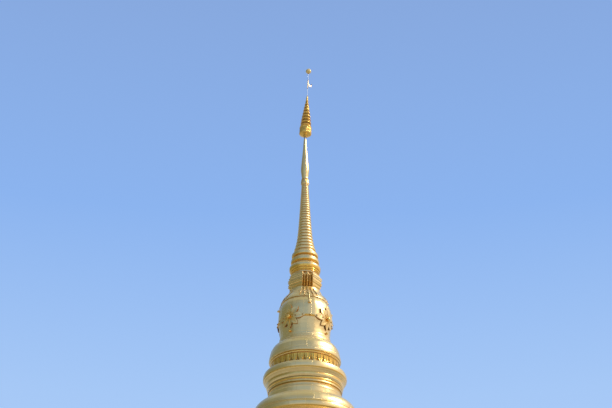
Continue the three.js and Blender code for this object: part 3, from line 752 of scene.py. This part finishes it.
class STUPA_OT_lotus_moulding(bpy.types.Operator):
    """The moulding below the bell, with a row of hanging lotus petals under its lip"""
    bl_idname = "stupa.lotus_moulding"
    bl_label = "Lotus moulding"

    def execute(self, context):
        number = context.scene.stupa_sizes.lotus_petals
        foot, top, lip = span("lotus_moulding")
        low, high = foot + 0.01, foot + 0.35
        line_low, line_high = foot + 0.38, foot + 0.43
        corners = inset(
            lip, foot, (0.155, 0.0), (0.15, 0.03), (0.125, 0.2), (0.1, 0.35), (0.04, 0.37), (0.025, 0.41),
            (0.055, 0.42), (0.05, 0.43), (0.006, 0.45), (0.0, 0.465), (0.0, 0.53), (0.012, 0.61),
            (0.026, 0.625), (0.022, 0.65), (0.066, 0.84), (0.142, 0.985), (0.205, 1.05), (0.262, 1.09),
            (0.305, 1.13), (0.372, 1.15), (0.36, 1.165), (0.365, 1.22), (0.38, 1.24), (0.385, top - foot))

        def hanging(angle, z):
            share = np.clip((z - low) / (high - low), 0.0, 1.0)
            tips = np.clip((0.3 - share) / 0.15, 0.0, 1.0)
            return petals(angle / TURN * number, 1.0 - share), share, tips, (z > low) * (z < high)

        def relief(angle, z):
            petal, share, _, within = hanging(angle, z)
            return (0.035 + 0.1 * (1.0 - share) ** 1.5) * within * petal

        # Painted shade in the gaps between the hanging petals and along their veins
        def dust_and_shade(angle, z):
            petal, share, tips, within = hanging(angle, z)
            from_rib = np.abs(angle / TURN * number % 1.0 - 0.5)
            gaps = 1.2 * (1.0 - tips) * np.clip((from_rib - 0.24 - 0.16 * share) / 0.12, 0.0, 1.0)
            veins = 0.35 * (1.0 - tips) * np.exp(-((from_rib - 0.14 - 0.1 * share) / 0.04) ** 2)
            return within * np.clip(np.maximum(np.maximum(gaps, veins), 1.4 - 1.6 * petal), 0.0, 1.4)

        def polish(angle, z):
            _, _, tips, within = hanging(angle, z)
            return np.maximum((0.95 - 0.85 * tips) * within, (z > line_low) * (z < line_high))
        skin = turned(corners, columns=10 * number, radius=0.008, pitch=0.03, relief=relief, polish=polish,
                      dust_and_shade=dust_and_shade)
        piece("lotus_moulding", skin)
        return {"FINISHED"}


def bell_profile():
    """Radius and height up the bell's wall, as in the frame but a little fuller at the belly."""
    foot, top, belly = span("bell")
    rise = top - foot
    return inset(
        belly + BELL_FULLNESS, foot, (0.072, 0.0), (0.068, 0.11 * rise), (0.052, 0.222 * rise),
        (0.026, 0.327 * rise), (0.0, 0.41 * rise), (0.0, 0.653 * rise), (0.01, 0.765 * rise),
        (0.043, 0.863 * rise), (0.095, 0.94 * rise), (0.15, rise))


class STUPA_OT_bell(bpy.types.Operator):
    """The bell in upright gilt strips, with its belt and the small knots on it"""
    bl_idname = "stupa.bell"
    bl_label = "Bell and belt"

    def execute(self, context):
        foot, top, belly = span("bell")
        strips = context.scene.stupa_sizes.bell_strips

        # How far the middle of a flat strip would lie inside the round. A strip here is half as flat.
        sag = belly * (1.0 - math.cos(math.pi / strips))

        def strip(angle, z):
            across = (angle / TURN * strips + 0.5) % 1.0 - 0.5
            return -0.5 * sag * (1.0 - 4.0 * across ** 2)
        skin = turned(bell_profile(), columns=8 * strips, radius=0.03, relief=strip,
                      sheets=(TURN * belly / strips, 1.6))
        piece("bell", skin)

        low, high, _ = span("bell_belt")
        full = belly + BELL_FULLNESS
        band = mirrored(low, high, (full - 0.01, -0.01), (full + 0.014, -0.01), (full + 0.02, 0.0),
                        (full + 0.014, 0.008), (full + 0.034, 0.02))
        ribbon = turned(band, columns=8 * strips, radius=0.003, pitch=0.03, polish=0.8, dust_and_shade=0.25,
                        closed=True)
        knot = drop((0.0, 0.0, 0.035), 0.034, rows=6, columns=8, dust_and_shade=1.0)
        knots = strung(knot, [(full, foot), (full, top)], BELT_KNOTS, 0.5 * (low + high))
        piece("bell_belt", joined([ribbon] + knots), name="belt_ribbon", slot="polished_gilt")
        return {"FINISHED"}


def flower(length, number):
    """A flower in a flat frame: broad leaves, each with an outline below it and a rib on it, small leaves
    between them, a boss in the middle and a bead below. The leaves that hang are shorter, narrower and more
    polished."""
    parts = []
    for i in range(number):
        way, between = (np.array([math.sin(TURN * turn / number), math.cos(TURN * turn / number), 0.0])
                        for turn in (i, i + 0.5))
        hanging = max(0.0, -way[1])
        reach = length * (1.0 + 0.12 * abs(way[0]) - 0.22 * hanging) * (0.86 if i % 2 else 1.0)
        root, tip = 0.04 * way, (0.05 + reach) * way
        narrower = 0.05 * hanging
        # The outline under each broad leaf carries painted shade
        parts += [
            leaf(root, 1.01 * tip, width=0.28 - narrower, thickness=0.012, curl=0.012, lift=0.008,
                 power=1.1, cup=0.3, polish=0.3, dust_and_shade=0.5),
            leaf(root, tip, width=0.24 - narrower, thickness=0.026, curl=0.02, lift=0.022,
                 power=1.1, cup=0.5, polish=0.25 * hanging),
            leaf(root, 0.75 * tip, width=0.03, thickness=0.024, curl=0.014, lift=0.034,
                 sections=9, ring=8, polish=0.3 + 0.5 * hanging),
            leaf(0.04 * between, 0.55 * length * between, width=0.08, thickness=0.02, curl=0.02, lift=0.02,
                 sections=9, ring=8, polish=0.9, dust_and_shade=0.3)]
    boss = drop((0.0, 0.0, 0.07), 0.075, stretch=0.9, rows=12, columns=20, polish=0.8)
    return joined(parts + [boss, drop((0.0, -0.06 - length, 0.05), 0.05)])


class STUPA_OT_flowers(bpy.types.Operator):
    """Four flowers on the belt, with curled leaves round a boss and a bead below"""
    bl_idname = "stupa.flowers"
    bl_label = "Flowers"

    def execute(self, context):
        sizes = context.scene.stupa_sizes
        low, high, _ = span("bell_belt")
        one = flower(sizes.flower_petal, sizes.flower_petals)
        flowers = strung(one, bell_profile(), 4, 0.5 * (low + high))
        for side, skin in zip(("front", "right", "back", "left"), flowers):
            piece(f"flower_{side}", skin, name=f"leaf_flower_{side}", slot="polished_gilt")
        return {"FINISHED"}


# Crown and harmika

def crown_profile():
    """Radius and height up the cone that crowns the bell, as in the frame."""
    foot, top, lip = span("bell_crown")
    return inset(lip, foot, (0.0, 0.03), (0.038, 0.115), (0.103, 0.215), (0.178, 0.31), (0.253, 0.39),
                 (0.288, 0.48), (0.313, top - foot))


class STUPA_OT_crown(bpy.types.Operator):
    """The cone that crowns the bell, and a spray of hanging leaves below each corner of the harmika"""
    bl_idname = "stupa.crown"
    bl_label = "Crown"

    def execute(self, context):
        foot, _, lip = span("bell_crown")
        corners = inset(lip, foot, (0.035, 0.0), (0.03, 0.004), (0.0, 0.012)) + crown_profile()

        # Painted shadow of the hanging leaf sprays on the cone, round each corner of the harmika
        def dust_and_shade(angle, z):
            from_corner = np.abs(angle / TURN * 4.0 % 1.0 - 0.5)
            return 0.75 * np.clip((0.24 - from_corner) / 0.05, 0.0, 1.0) * (z > foot + 0.14)
        skin = turned(corners, columns=176, radius=0.012, pitch=0.03, sheets=(0.4, 0.6), dust_and_shade=dust_and_shade,
                      underside_shade_weight=0.0, groove_shade_weight=0.3)
        piece("bell_crown", skin)

        spacing = 0.12
        parts = []
        for i, length in enumerate((0.44, 0.5, 0.55, 0.5, 0.44)):
            root = np.array([spacing * (i - 2.0), 0.0, 0.016])
            tip = root + (0.0, -length, 0.0)
            parts.append(leaf(root, tip, width=0.072, thickness=0.04, curl=0.02, power=1.1, cup=-0.2))
            parts.append(drop(tip + (0.0, -0.012, 0.008), 0.022, rows=6, columns=8, polish=0.0))
        parts.append(leaf((0.0, -0.4, 0.02), (0.0, -0.88, 0.02), width=0.035, thickness=0.035, curl=0.0,
                          cup=0.0))
        parts.append(drop((0.0, -0.89, 0.025), 0.042, stretch=1.3, polish=0.1))
        wall = bell_profile()[:-1] + [(lip + 0.004, foot)] + crown_profile()
        sprays = strung(joined(parts), wall, 4, foot + 0.57, start=0.5)
        for corner, skin in zip(("front_right", "back_right", "back_left", "front_left"), sprays):
            piece(f"crown_ornament_{corner}", skin, name=f"leaf_spray_{corner}")
        return {"FINISHED"}


class STUPA_OT_harmika(bpy.types.Operator):
    """The redented block on the crown, with fillets round its waist and slots in its redents"""
    bl_idname = "stupa.harmika"
    bl_label = "Harmika"

    def execute(self, context):
        foot, top, half = span("harmika")
        low, high = foot + 0.02, foot + 0.52
        corners = inset(
            half, foot, (0.09, 0.0), (0.08, 0.07), (0.08, 0.085), (0.05, 0.1), (0.046, 0.135), (0.046, 0.2),
            (0.02, 0.21), (0.006, 0.235), (0.006, 0.265), (0.022, 0.272), (0.022, 0.29), (0.006, 0.298),
            (0.006, 0.33), (0.024, 0.345), (0.024, 0.42), (0.004, 0.432), (0.0, 0.445), (0.0, 0.475),
            (0.018, 0.483), (0.018, 0.5), (0.0, 0.508), (0.0, 0.55), (0.046, 0.57), (0.052, 0.59),
            (0.056, 0.64), (0.072, 0.67), (0.09, top - foot))

        def slot(count, sides, z):
            across = np.abs(count % 1.0 - 0.5) * 2.0
            inside = np.clip((0.4 - across) / 0.16, 0.0, 1.0)
            return (sides == 1) * inside * np.clip(np.minimum(z - low, high - z) / 0.015, 0.0, 1.0)

        def polish(count, sides, z):
            return np.maximum(slot(count, sides, z), 0.4 * (z < foot + 0.34))
        # The slots are sunk and painted with shade
        skin = redented(
            corners, HARMIKA_STEP, columns_per_bay=8, bay=0.15, radius=0.006, pitch=0.03, sheets=(0.5, 0.9),
            relief=lambda *place: -0.028 * slot(*place), dust_and_shade=lambda *place: 1.1 * slot(*place),
            polish=polish)
        piece("harmika", skin)
        return {"FINISHED"}


# Spire

class STUPA_OT_neck(bpy.types.Operator):
    """The neck of the spire and its three polished rings"""
    bl_idname = "stupa.neck"
    bl_label = "Neck and gold rings"

    def execute(self, context):
        # Radius of the neck inside each ring, and how far up the ring its rim begins
        rings = {"lower": (0.505, 0.56), "middle": (0.465, 0.31), "upper": (0.425, 0.24)}
        rim_end = 0.76
        foot, top, _ = span("spire_neck")
        corners = []
        for place, (radius, _) in rings.items():
            low, high, _ = span(f"gold_ring_{place}")
            corners += [(radius, low), (radius, high), (radius - 0.012, high + 0.015), (radius, high + 0.03)]
        widest, first = corners[0]
        head = 0.395
        corners = [(widest + 0.015, foot), (widest + 0.015, first), *corners]
        corners += [(head + 0.005, high + 0.05), (head, high + 0.065), (head, top)]
        skin = turned(corners, columns=96, radius=0.006, pitch=0.04, sheets=(0.4, 0.5))
        piece("spire_neck", skin)

        for place, (radius, rim) in rings.items():
            low, high, outer = span(f"gold_ring_{place}")
            shares = [
                (0.0, 0.0), (0.3, 0.0), (0.38, 0.08 * rim), (0.3, 0.2 * rim), (0.52, 0.26 * rim),
                (0.64, 0.42 * rim), (0.56, 0.56 * rim), (0.8, 0.62 * rim), (0.94, 0.82 * rim), (0.98, rim),
                (1.0, rim + 0.03), (1.0, rim_end - 0.03), (0.9, rim_end + 0.03), (0.55, 0.9), (0.5, 0.95),
                (0.3, 0.97), (0.0, 1.0)]
            corners = [(radius + (outer - radius) * out, low + (high - low) * up) for out, up in shares]
            bright = low + (rim + 0.02) * (high - low)
            skin = turned(corners, columns=96, radius=0.008, pitch=0.02, underside_shade_weight=0.45, closed=True,
                          polish=lambda angle, z: np.clip((bright - z) / 0.01, 0.0, 1.0))
            piece(f"gold_ring_{place}", skin, slot="polished_gilt")
        return {"FINISHED"}


class STUPA_OT_ringed_spire(bpy.types.Operator):
    """The rings of the spire, each a rolled bead that is smaller and closer than the one below"""
    bl_idname = "stupa.ringed_spire"
    bl_label = "Ringed spire"

    def execute(self, context):
        count = context.scene.stupa_sizes.spire_rings
        shrink = 0.973
        foot, join, _ = span("ringed_spire_lower")
        _, top, _ = span("ringed_spire_upper")
        head, taper, flare = 0.14, 0.19, 0.1
        first = (top - foot) * (1.0 - shrink) / (1.0 - shrink ** count)
        heights = foot + first * (1.0 - shrink ** np.arange(count + 1)) / (1.0 - shrink)
        split = int(np.argmin(np.abs(heights - join)))

        # Each ring's outline, as shares of its height and of the spire's radius
        ring_up = np.array([[0.0, 0.06, 0.14, 0.3, 0.5, 0.66, 0.76, 0.9]])
        ring_out = np.array([[0.86, 0.92, 0.98, 1.0, 1.0, 0.98, 0.93, 0.86]])

        def radius_at(z):
            share = np.clip(1.0 - (z - foot) / (top - foot), 0.0, 1.0)
            return head + taper * share + flare * share ** 8

        # Painted shade in the grooves between the rings
        def dust_and_shade(angle, z):
            ring = np.clip(np.searchsorted(heights, z, side="right") - 1, 0, count - 1)
            share = (z - heights[ring]) / (heights[ring + 1] - heights[ring])
            return 1.4 * np.clip((np.abs(share - 0.46) - 0.37) / 0.12, 0.0, 1.0)

        for length, start, end in (("lower", 0, split), ("upper", split, count)):
            low, high = heights[start:end, None], heights[start + 1:end + 1, None]
            radius, z = radius_at(low) * ring_out, low + (high - low) * ring_up
            end_radius = ring_out[0, 0] * radius_at(heights[end])
            corners = [*zip(radius.ravel(), z.ravel()), (end_radius, heights[end])]
            skin = turned(corners, columns=96, radius=0.0, dust_and_shade=dust_and_shade, underside_shade_weight=0.0, groove_shade_weight=0.1,
                          sheets=(0.3, 0.4))
            piece(f"ringed_spire_{length}", skin, name=f"spire_rings_{length}")
        return {"FINISHED"}


class STUPA_OT_spindle(bpy.types.Operator):
    """The lotus cup and the long plain bud that it holds"""
    bl_idname = "stupa.spindle"
    bl_label = "Lotus cup and spindle"

    def execute(self, context):
        foot, top, wide = span("lotus_cup")
        rise = top - foot
        corners = inset(
            wide, foot, (0.022, 0.0), (0.03, 0.1 * rise), (0.01, 0.22 * rise), (0.012, 0.4 * rise),
            (0.016, 0.7 * rise), (0.028, rise))

        def cup_petals(angle, z):
            share = np.clip((z - foot) / rise, 0.0, 1.0)
            return petals(angle / TURN * CUP_PETALS, share), share > 0.05

        def relief(angle, z):
            petal, within = cup_petals(angle, z)
            return 0.02 * petal * within

        # Painted shade between the cup's petals
        def dust_and_shade(angle, z):
            petal, within = cup_petals(angle, z)
            return np.clip(1.1 - 1.3 * petal, 0.0, 1.0) * within
        skin = turned(corners, columns=128, radius=0.006, pitch=0.015, relief=relief, dust_and_shade=dust_and_shade,
                      sheets=(0.2, 0.3))
        piece("lotus_cup", skin)

        foot, top, wide = span("spindle")
        corners = in_shares(
            wide, foot, top - foot, (0.77, 0.0), (0.8, 0.02), (0.76, 0.035), (0.88, 0.12), (0.97, 0.18),
            (1.0, 0.23), (0.985, 0.28), (0.91, 0.343), (0.81, 0.44), (0.713, 0.534), (0.6, 0.635),
            (0.5, 0.735), (0.42, 0.83), (0.35, 0.931), (0.304, 1.0))
        piece("spindle", turned(corners, columns=96, radius=0.06, pitch=0.06, sheets=(0.35, 1.1)))
        return {"FINISHED"}


# Umbrella and finial

def umbrella_drum():
    """The drum, upright: a petalled bowl, a fretted band between two rolls, and a hem of small leaves."""
    foot, top, wide = upright("umbrella_drum")
    hem_height = foot + 0.36 * (top - foot)
    petals_low, petals_high = foot + 0.06, foot + 0.135
    band_low, band_high = hem_height + 0.02, top - 0.1
    underside = (
        (UMBRELLA_BORE, 0.0), (0.07, 0.0), (0.08, 0.012), (0.072, 0.03), (0.084, 0.06), (0.14, 0.088),
        (0.2, 0.116))
    corners = [(out, foot + up) for out, up in underside]
    corners += inset(wide, foot, (0.02, 0.134), (0.006, 0.15), (0.0, 0.17), (0.004, 0.185), (0.014, 0.195))
    corners += inset(wide, top, (0.016, -0.1), (0.002, -0.088), (0.0, -0.06), (0.012, -0.045),
                     (0.018, -0.02), (0.04, 0.0))
    corners.append((UMBRELLA_BORE, top))

    def fretting(angle, z):
        within = (z > petals_low) * (z < petals_high)
        leaves = petals(angle / TURN * DRUM_PETALS, (z - petals_low) / 0.08) * within
        fade = np.clip(np.minimum(z - band_low, band_high - z) / 0.02, 0.0, 1.0)
        return within, leaves, np.abs(np.sin(DRUM_PETALS * angle)) * fade

    def relief(angle, z):
        _, leaves, fret = fretting(angle, z)
        return 0.006 * leaves + 0.01 * fret

    # Painted shade between the bowl's petals and in the hollows of the fretted band
    def dust_and_shade(angle, z):
        within, leaves, fret = fretting(angle, z)
        band = 0.7 * (z > band_low) * (z < band_high) * (1.0 - fret)
        return 0.9 * np.maximum(0.5 * within * (1.0 - leaves), band)
    drum = turned(corners, columns=112, radius=0.005, pitch=0.015, relief=relief, dust_and_shade=dust_and_shade, polish=0.9,
                  closed=True)
    hem_leaf = leaf((0.0, 0.03, 0.0), (0.0, -0.045, 0.0), width=0.05, thickness=0.012, curl=0.0,
                    sections=7, ring=6, power=0.6, polish=0.9)
    wall = [(wide - 0.008, foot - 0.1), (wide - 0.008, top)]
    return joined([drum] + strung(hem_leaf, wall, HEM_LEAVES, hem_height))


def umbrella_tiers(count):
    """The tiers, upright: each is a rolled rim under a cone, hung with small bells about 0.1 m apart. They
    narrow by the power 1.25 of their place."""
    foot, top, wide = upright("umbrella_tiers")
    pitch = (top - foot) / count
    narrow = 0.084
    bell = drop((0.0, -0.028, 0.0), 0.014, stretch=1.5, rows=5, columns=6)
    corners = [(UMBRELLA_BORE, foot)]
    bells = []
    for i in range(count):
        radius = wide - (wide - narrow) * (i / (count - 1)) ** 1.25
        z = foot + i * pitch
        corners += inset(radius, z, (0.035, 0.0), (0.01, 0.012), (0.0, 0.025), (0.0, 0.045), (0.012, 0.055),
                         (0.024, 0.55 * pitch))
        corners += in_shares(radius, z, pitch, (0.78, 0.8), (0.7, 0.84), (0.7, 0.98))
        wall = [(radius, z - 0.2), (radius, z + 0.2)]
        bells += strung(bell, wall, max(8, round(TURN * radius / 0.1)), z + 0.015)
    corners.append((UMBRELLA_BORE, top))

    # Painted shade under each tier's rim, over an even darker tone
    def gaps(angle, z):
        share = (z - foot) / pitch % 1.0
        return 1.4 * np.clip((share - 0.6) / 0.15, 0.38, 1.0)
    tiers = turned(corners, columns=64, radius=0.005, pitch=0.02, polish=0.85, dust_and_shade=gaps, closed=True)
    return joined([tiers] + bells)


def umbrella_spike():
    """The spike, upright: a stack of small rolls under a thin cone, pierced for the mast."""
    foot, top, wide = upright("umbrella_spike")
    bore = 0.0105
    corners = inset(wide, foot, (0.008, 0.0), (0.0, 0.03), (0.008, 0.055), (0.02, 0.07), (0.012, 0.1),
                    (0.022, 0.13), (0.018, 0.17), (0.026, 0.22), (0.036, 0.28))
    corners = [(bore, foot), *corners, (bore, top)]
    return turned(corners, columns=48, radius=0.008, pitch=0.015, polish=0.9, closed=True)


class STUPA_OT_umbrella(bpy.types.Operator):
    """The umbrella: a petalled bowl with a fretted hem, tiers hung with small bells, and a spike"""
    bl_idname = "stupa.umbrella"
    bl_label = "Umbrella"

    def execute(self, context):
        piece("umbrella_drum", leaning(umbrella_drum()), slot="polished_gilt")
        tiers = umbrella_tiers(context.scene.stupa_sizes.umbrella_tiers)
        piece("umbrella_tiers", leaning(tiers), slot="polished_gilt")
        piece("umbrella_spike", leaning(umbrella_spike()), slot="polished_gilt")
        return {"FINISHED"}


def run_of(points, t):
    """Curve of quadratic runs: points hold a start, then a control point and an end for each run."""
    points = np.asarray(points, float)
    runs = len(points) // 2
    i = np.minimum((t * runs).astype(int), runs - 1)
    s = (t * runs - i)[:, None]
    a, b, c = points[2 * i], points[2 * i + 1], points[2 * i + 2]
    return (1 - s) ** 2 * a + 2 * s * (1 - s) * b + s ** 2 * c


def crescent(length, tall, thickness, bore):
    """Crescent between two edges that run from the sleeve down and out to a raised tip. Between them it is a
    lens: at turn b the point lies cos(b) of the half gap above their middle and sin(b) of the half thickness
    aside."""
    t = np.linspace(0.0, 1.0, 30)
    tip = (length, 0.66 * tall)
    low = run_of([(bore, 0.48 * tall), (0.3 * length, 0.33 * tall), (0.68 * length, 0.29 * tall),
                  (1.02 * length, 0.3 * tall), tip], t)
    high = run_of([(bore, 0.78 * tall), (0.36 * length, 0.47 * tall), (0.66 * length, 0.46 * tall),
                   (0.9 * length, 0.47 * tall), tip], t)
    middle, half = 0.5 * (low + high), 0.5 * (high - low)
    turn = np.arange(12) * TURN / 12
    swell = np.sqrt(np.clip(4.0 * (1.0 - t), 0.0, 1.0))
    flat = middle[:, None, :] + half[:, None, :] * np.cos(turn)[None, :, None]
    aside = -0.5 * thickness * swell[:, None] * np.sin(turn)[None, :]
    grid = np.stack([flat[..., 0], aside, flat[..., 1]], axis=-1)
    root = np.broadcast_to([middle[0, 0], 0.0, middle[0, 1]], grid[:1].shape)
    plate = shell(np.concatenate([root, grid]), 1, np.append(-0.1, t), polish=0.2)
    return joined([plate, drop((tip[0], 0.0, tip[1]), 0.024, dust_and_shade=1.0)])


class STUPA_OT_finial(bpy.types.Operator):
    """The mast, the vane that turns on it and the bud on top"""
    bl_idname = "stupa.finial"
    bl_label = "Mast, vane and bud"

    def execute(self, context):
        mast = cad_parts["mast"]
        mast.data.materials.clear()
        mast.data.materials.append(finish_for("mast_steel"))

        foot, top, length = upright("vane")
        plate = crescent(length - 0.01, top - foot, thickness=0.014, bore=0.016)
        aim = np.array(Matrix.Rotation(context.scene.stupa_sizes.vane_turn, 3, "Z"))
        plate = plate._replace(points=plate.points @ aim.T + foot * OUT)
        corners = mirrored(foot, top, (0.012, 0.0), (0.019, 0.0), (0.019, 0.02), (0.016, 0.035))
        sleeve = turned(corners, columns=24, radius=0.003, polish=0.3, closed=True,
                        dust_and_shade=lambda angle, z: z > top - 0.04)
        piece("vane", leaning(joined([sleeve, plate])), name="vane_crescent", body="vane")

        foot, top, wide = upright("bud")
        corners = in_shares(
            wide, foot, top - foot, (0.3, 0.0), (0.4, 0.03), (0.36, 0.08), (0.74, 0.18), (0.95, 0.32),
            (1.0, 0.44), (0.94, 0.58), (0.74, 0.72), (0.45, 0.86), (0.16, 0.96), (0.0, 1.0))

        def lobes(angle, z):
            share = np.clip((z - foot) / (top - foot), 0.0, 1.0)
            return 0.006 * np.abs(np.sin(4.0 * angle)) * np.sin(np.pi * share)
        skin = turned(corners, columns=64, radius=0.015, pitch=0.015, relief=lobes)
        piece("bud", leaning(skin), slot="polished_gilt")
        return {"FINISHED"}


# Stage

def stage_floor(paint):
    """A flat disc, a ring of points joined to a middle point, in pale stone."""
    i = np.arange(FLOOR_POINTS)
    turn = i * TURN / FLOOR_POINTS
    rim = np.stack([FLOOR_RADIUS * np.cos(turn), FLOOR_RADIUS * np.sin(turn), 0.0 * turn], axis=1)
    faces = np.stack([i, (i + 1) % FLOOR_POINTS, np.full(FLOOR_POINTS, FLOOR_POINTS)], axis=1)
    mesh = bpy.data.meshes.new("floor")
    mesh.from_pydata([*rim.tolist(), (0.0, 0.0, 0.0)], [], faces.tolist())
    floor = bpy.data.objects.new("floor", mesh)
    bpy.context.scene.collection.objects.link(floor)
    material, _, shader = new_material("floor")
    shader.inputs["Base Color"].default_value = (*paint, 1.0)
    shader.inputs["Roughness"].default_value = 0.9
    mesh.materials.append(material)


def soft_light(stage):
    """World light that runs from the horizon's colour to the zenith's by the height of the direction, and
    turns to the shade's tint on the camera's left and to the glow's on its right."""
    world = bpy.data.worlds.new("soft light")
    world.use_nodes = True
    tree = world.node_tree
    way = add_node(tree, "ShaderNodeTexCoord").outputs["Generated"]
    height = add_node(tree, "ShaderNodeSeparateXYZ", {"Vector": way}).outputs["Z"]
    ramp = add_node(tree, "ShaderNodeValToRGB", {"Fac": height})
    stops = ramp.color_ramp.elements
    stops[0].position, stops[0].color = 0.0, (*stage.horizon, 1.0)
    stops[1].position, stops[1].color = 1.0, (*stage.zenith, 1.0)
    for position, light in ((0.39, stage.sky_low), (0.52, stage.sky_middle), (0.66, stage.sky_high)):
        stops.new(position).color = (*light, 1.0)
    left = (-math.cos(stage.azimuth), -math.sin(stage.azimuth), 0.0)
    turn = add_node(tree, "ShaderNodeVectorMath", {0: way, 1: left}, operation="DOT_PRODUCT")
    light = ramp.outputs["Color"]
    for start, full, most, tint in ((0.4, 0.82, 0.85, stage.shade), (-0.35, -0.75, 0.9, stage.glow)):
        share = scaled(tree, turn.outputs["Value"], 0.0, most, start, full, interpolation_type="SMOOTHSTEP")
        light = blended(tree, share, light, (*tint, 1.0))
    tree.links.new(light, tree.nodes["Background"].inputs["Color"])
    return world


class STUPA_OT_stage(bpy.types.Operator):
    """Sets the floor, the soft light and the camera"""
    bl_idname = "stupa.stage"
    bl_label = "Stage"

    def execute(self, context):
        stage = context.scene.stupa_stage
        stage_floor(stage.floor)
        context.scene.world = soft_light(stage)
        context.scene.view_settings.view_transform = "Standard"

        key = bpy.data.objects.new("key light", bpy.data.lights.new("key light", "SUN"))
        key.data.energy = stage.key_power
        key.data.angle = math.radians(9.0)
        key.rotation_euler = Euler((RIGHT_ANGLE - stage.key_height, 0.0, stage.key_azimuth))
        context.scene.collection.objects.link(key)

        camera = bpy.data.objects.new("camera", bpy.data.cameras.new("camera"))
        camera.data.lens = stage.lens
        camera.data.sensor_width = 36.0
        camera.data.clip_end = 400.0
        camera.location = (
            stage.distance * math.sin(stage.azimuth), -stage.distance * math.cos(stage.azimuth), stage.eye)
        camera.rotation_euler = Euler((RIGHT_ANGLE + stage.pitch, 0.0, stage.azimuth - stage.yaw))
        context.scene.collection.objects.link(camera)
        context.scene.camera = camera
        return {"FINISHED"}


OPERATORS = (
    STUPA_OT_stage, STUPA_OT_plinths, STUPA_OT_base, STUPA_OT_mouldings, STUPA_OT_lotus_moulding,
    STUPA_OT_bell, STUPA_OT_flowers, STUPA_OT_crown, STUPA_OT_harmika, STUPA_OT_neck, STUPA_OT_ringed_spire,
    STUPA_OT_spindle, STUPA_OT_umbrella, STUPA_OT_finial)
SETTINGS = {"stupa_sizes": StupaSizes, "stupa_finish": StupaFinish, "stupa_stage": StupaStage}


class STUPA_PT_panel(bpy.types.Panel):
    """Lists the pieces and their settings in the sidebar"""
    bl_idname = "STUPA_PT_panel"
    bl_label = "Gilded bell stupa"
    bl_space_type = "VIEW_3D"
    bl_region_type = "UI"
    bl_category = "Stupa"

    def draw(self, context):
        for settings, group in SETTINGS.items():
            box = self.layout.box()
            for name in group.__annotations__:
                box.prop(getattr(context.scene, settings), name)
        for operator in OPERATORS:
            self.layout.operator(operator.bl_idname)


def register():
    for cls in (*SETTINGS.values(), *OPERATORS, STUPA_PT_panel):
        bpy.utils.register_class(cls)
    for settings, group in SETTINGS.items():
        setattr(bpy.types.Scene, settings, PointerProperty(type=group))


def unregister():
    for settings in SETTINGS:
        delattr(bpy.types.Scene, settings)
    for cls in (STUPA_PT_panel, *reversed(OPERATORS), *SETTINGS.values()):
        bpy.utils.unregister_class(cls)


def main():
    register()
    for operator in OPERATORS:
        getattr(bpy.ops.stupa, operator.bl_idname.split(".")[1])()


if __name__ == "__main__":
    main()
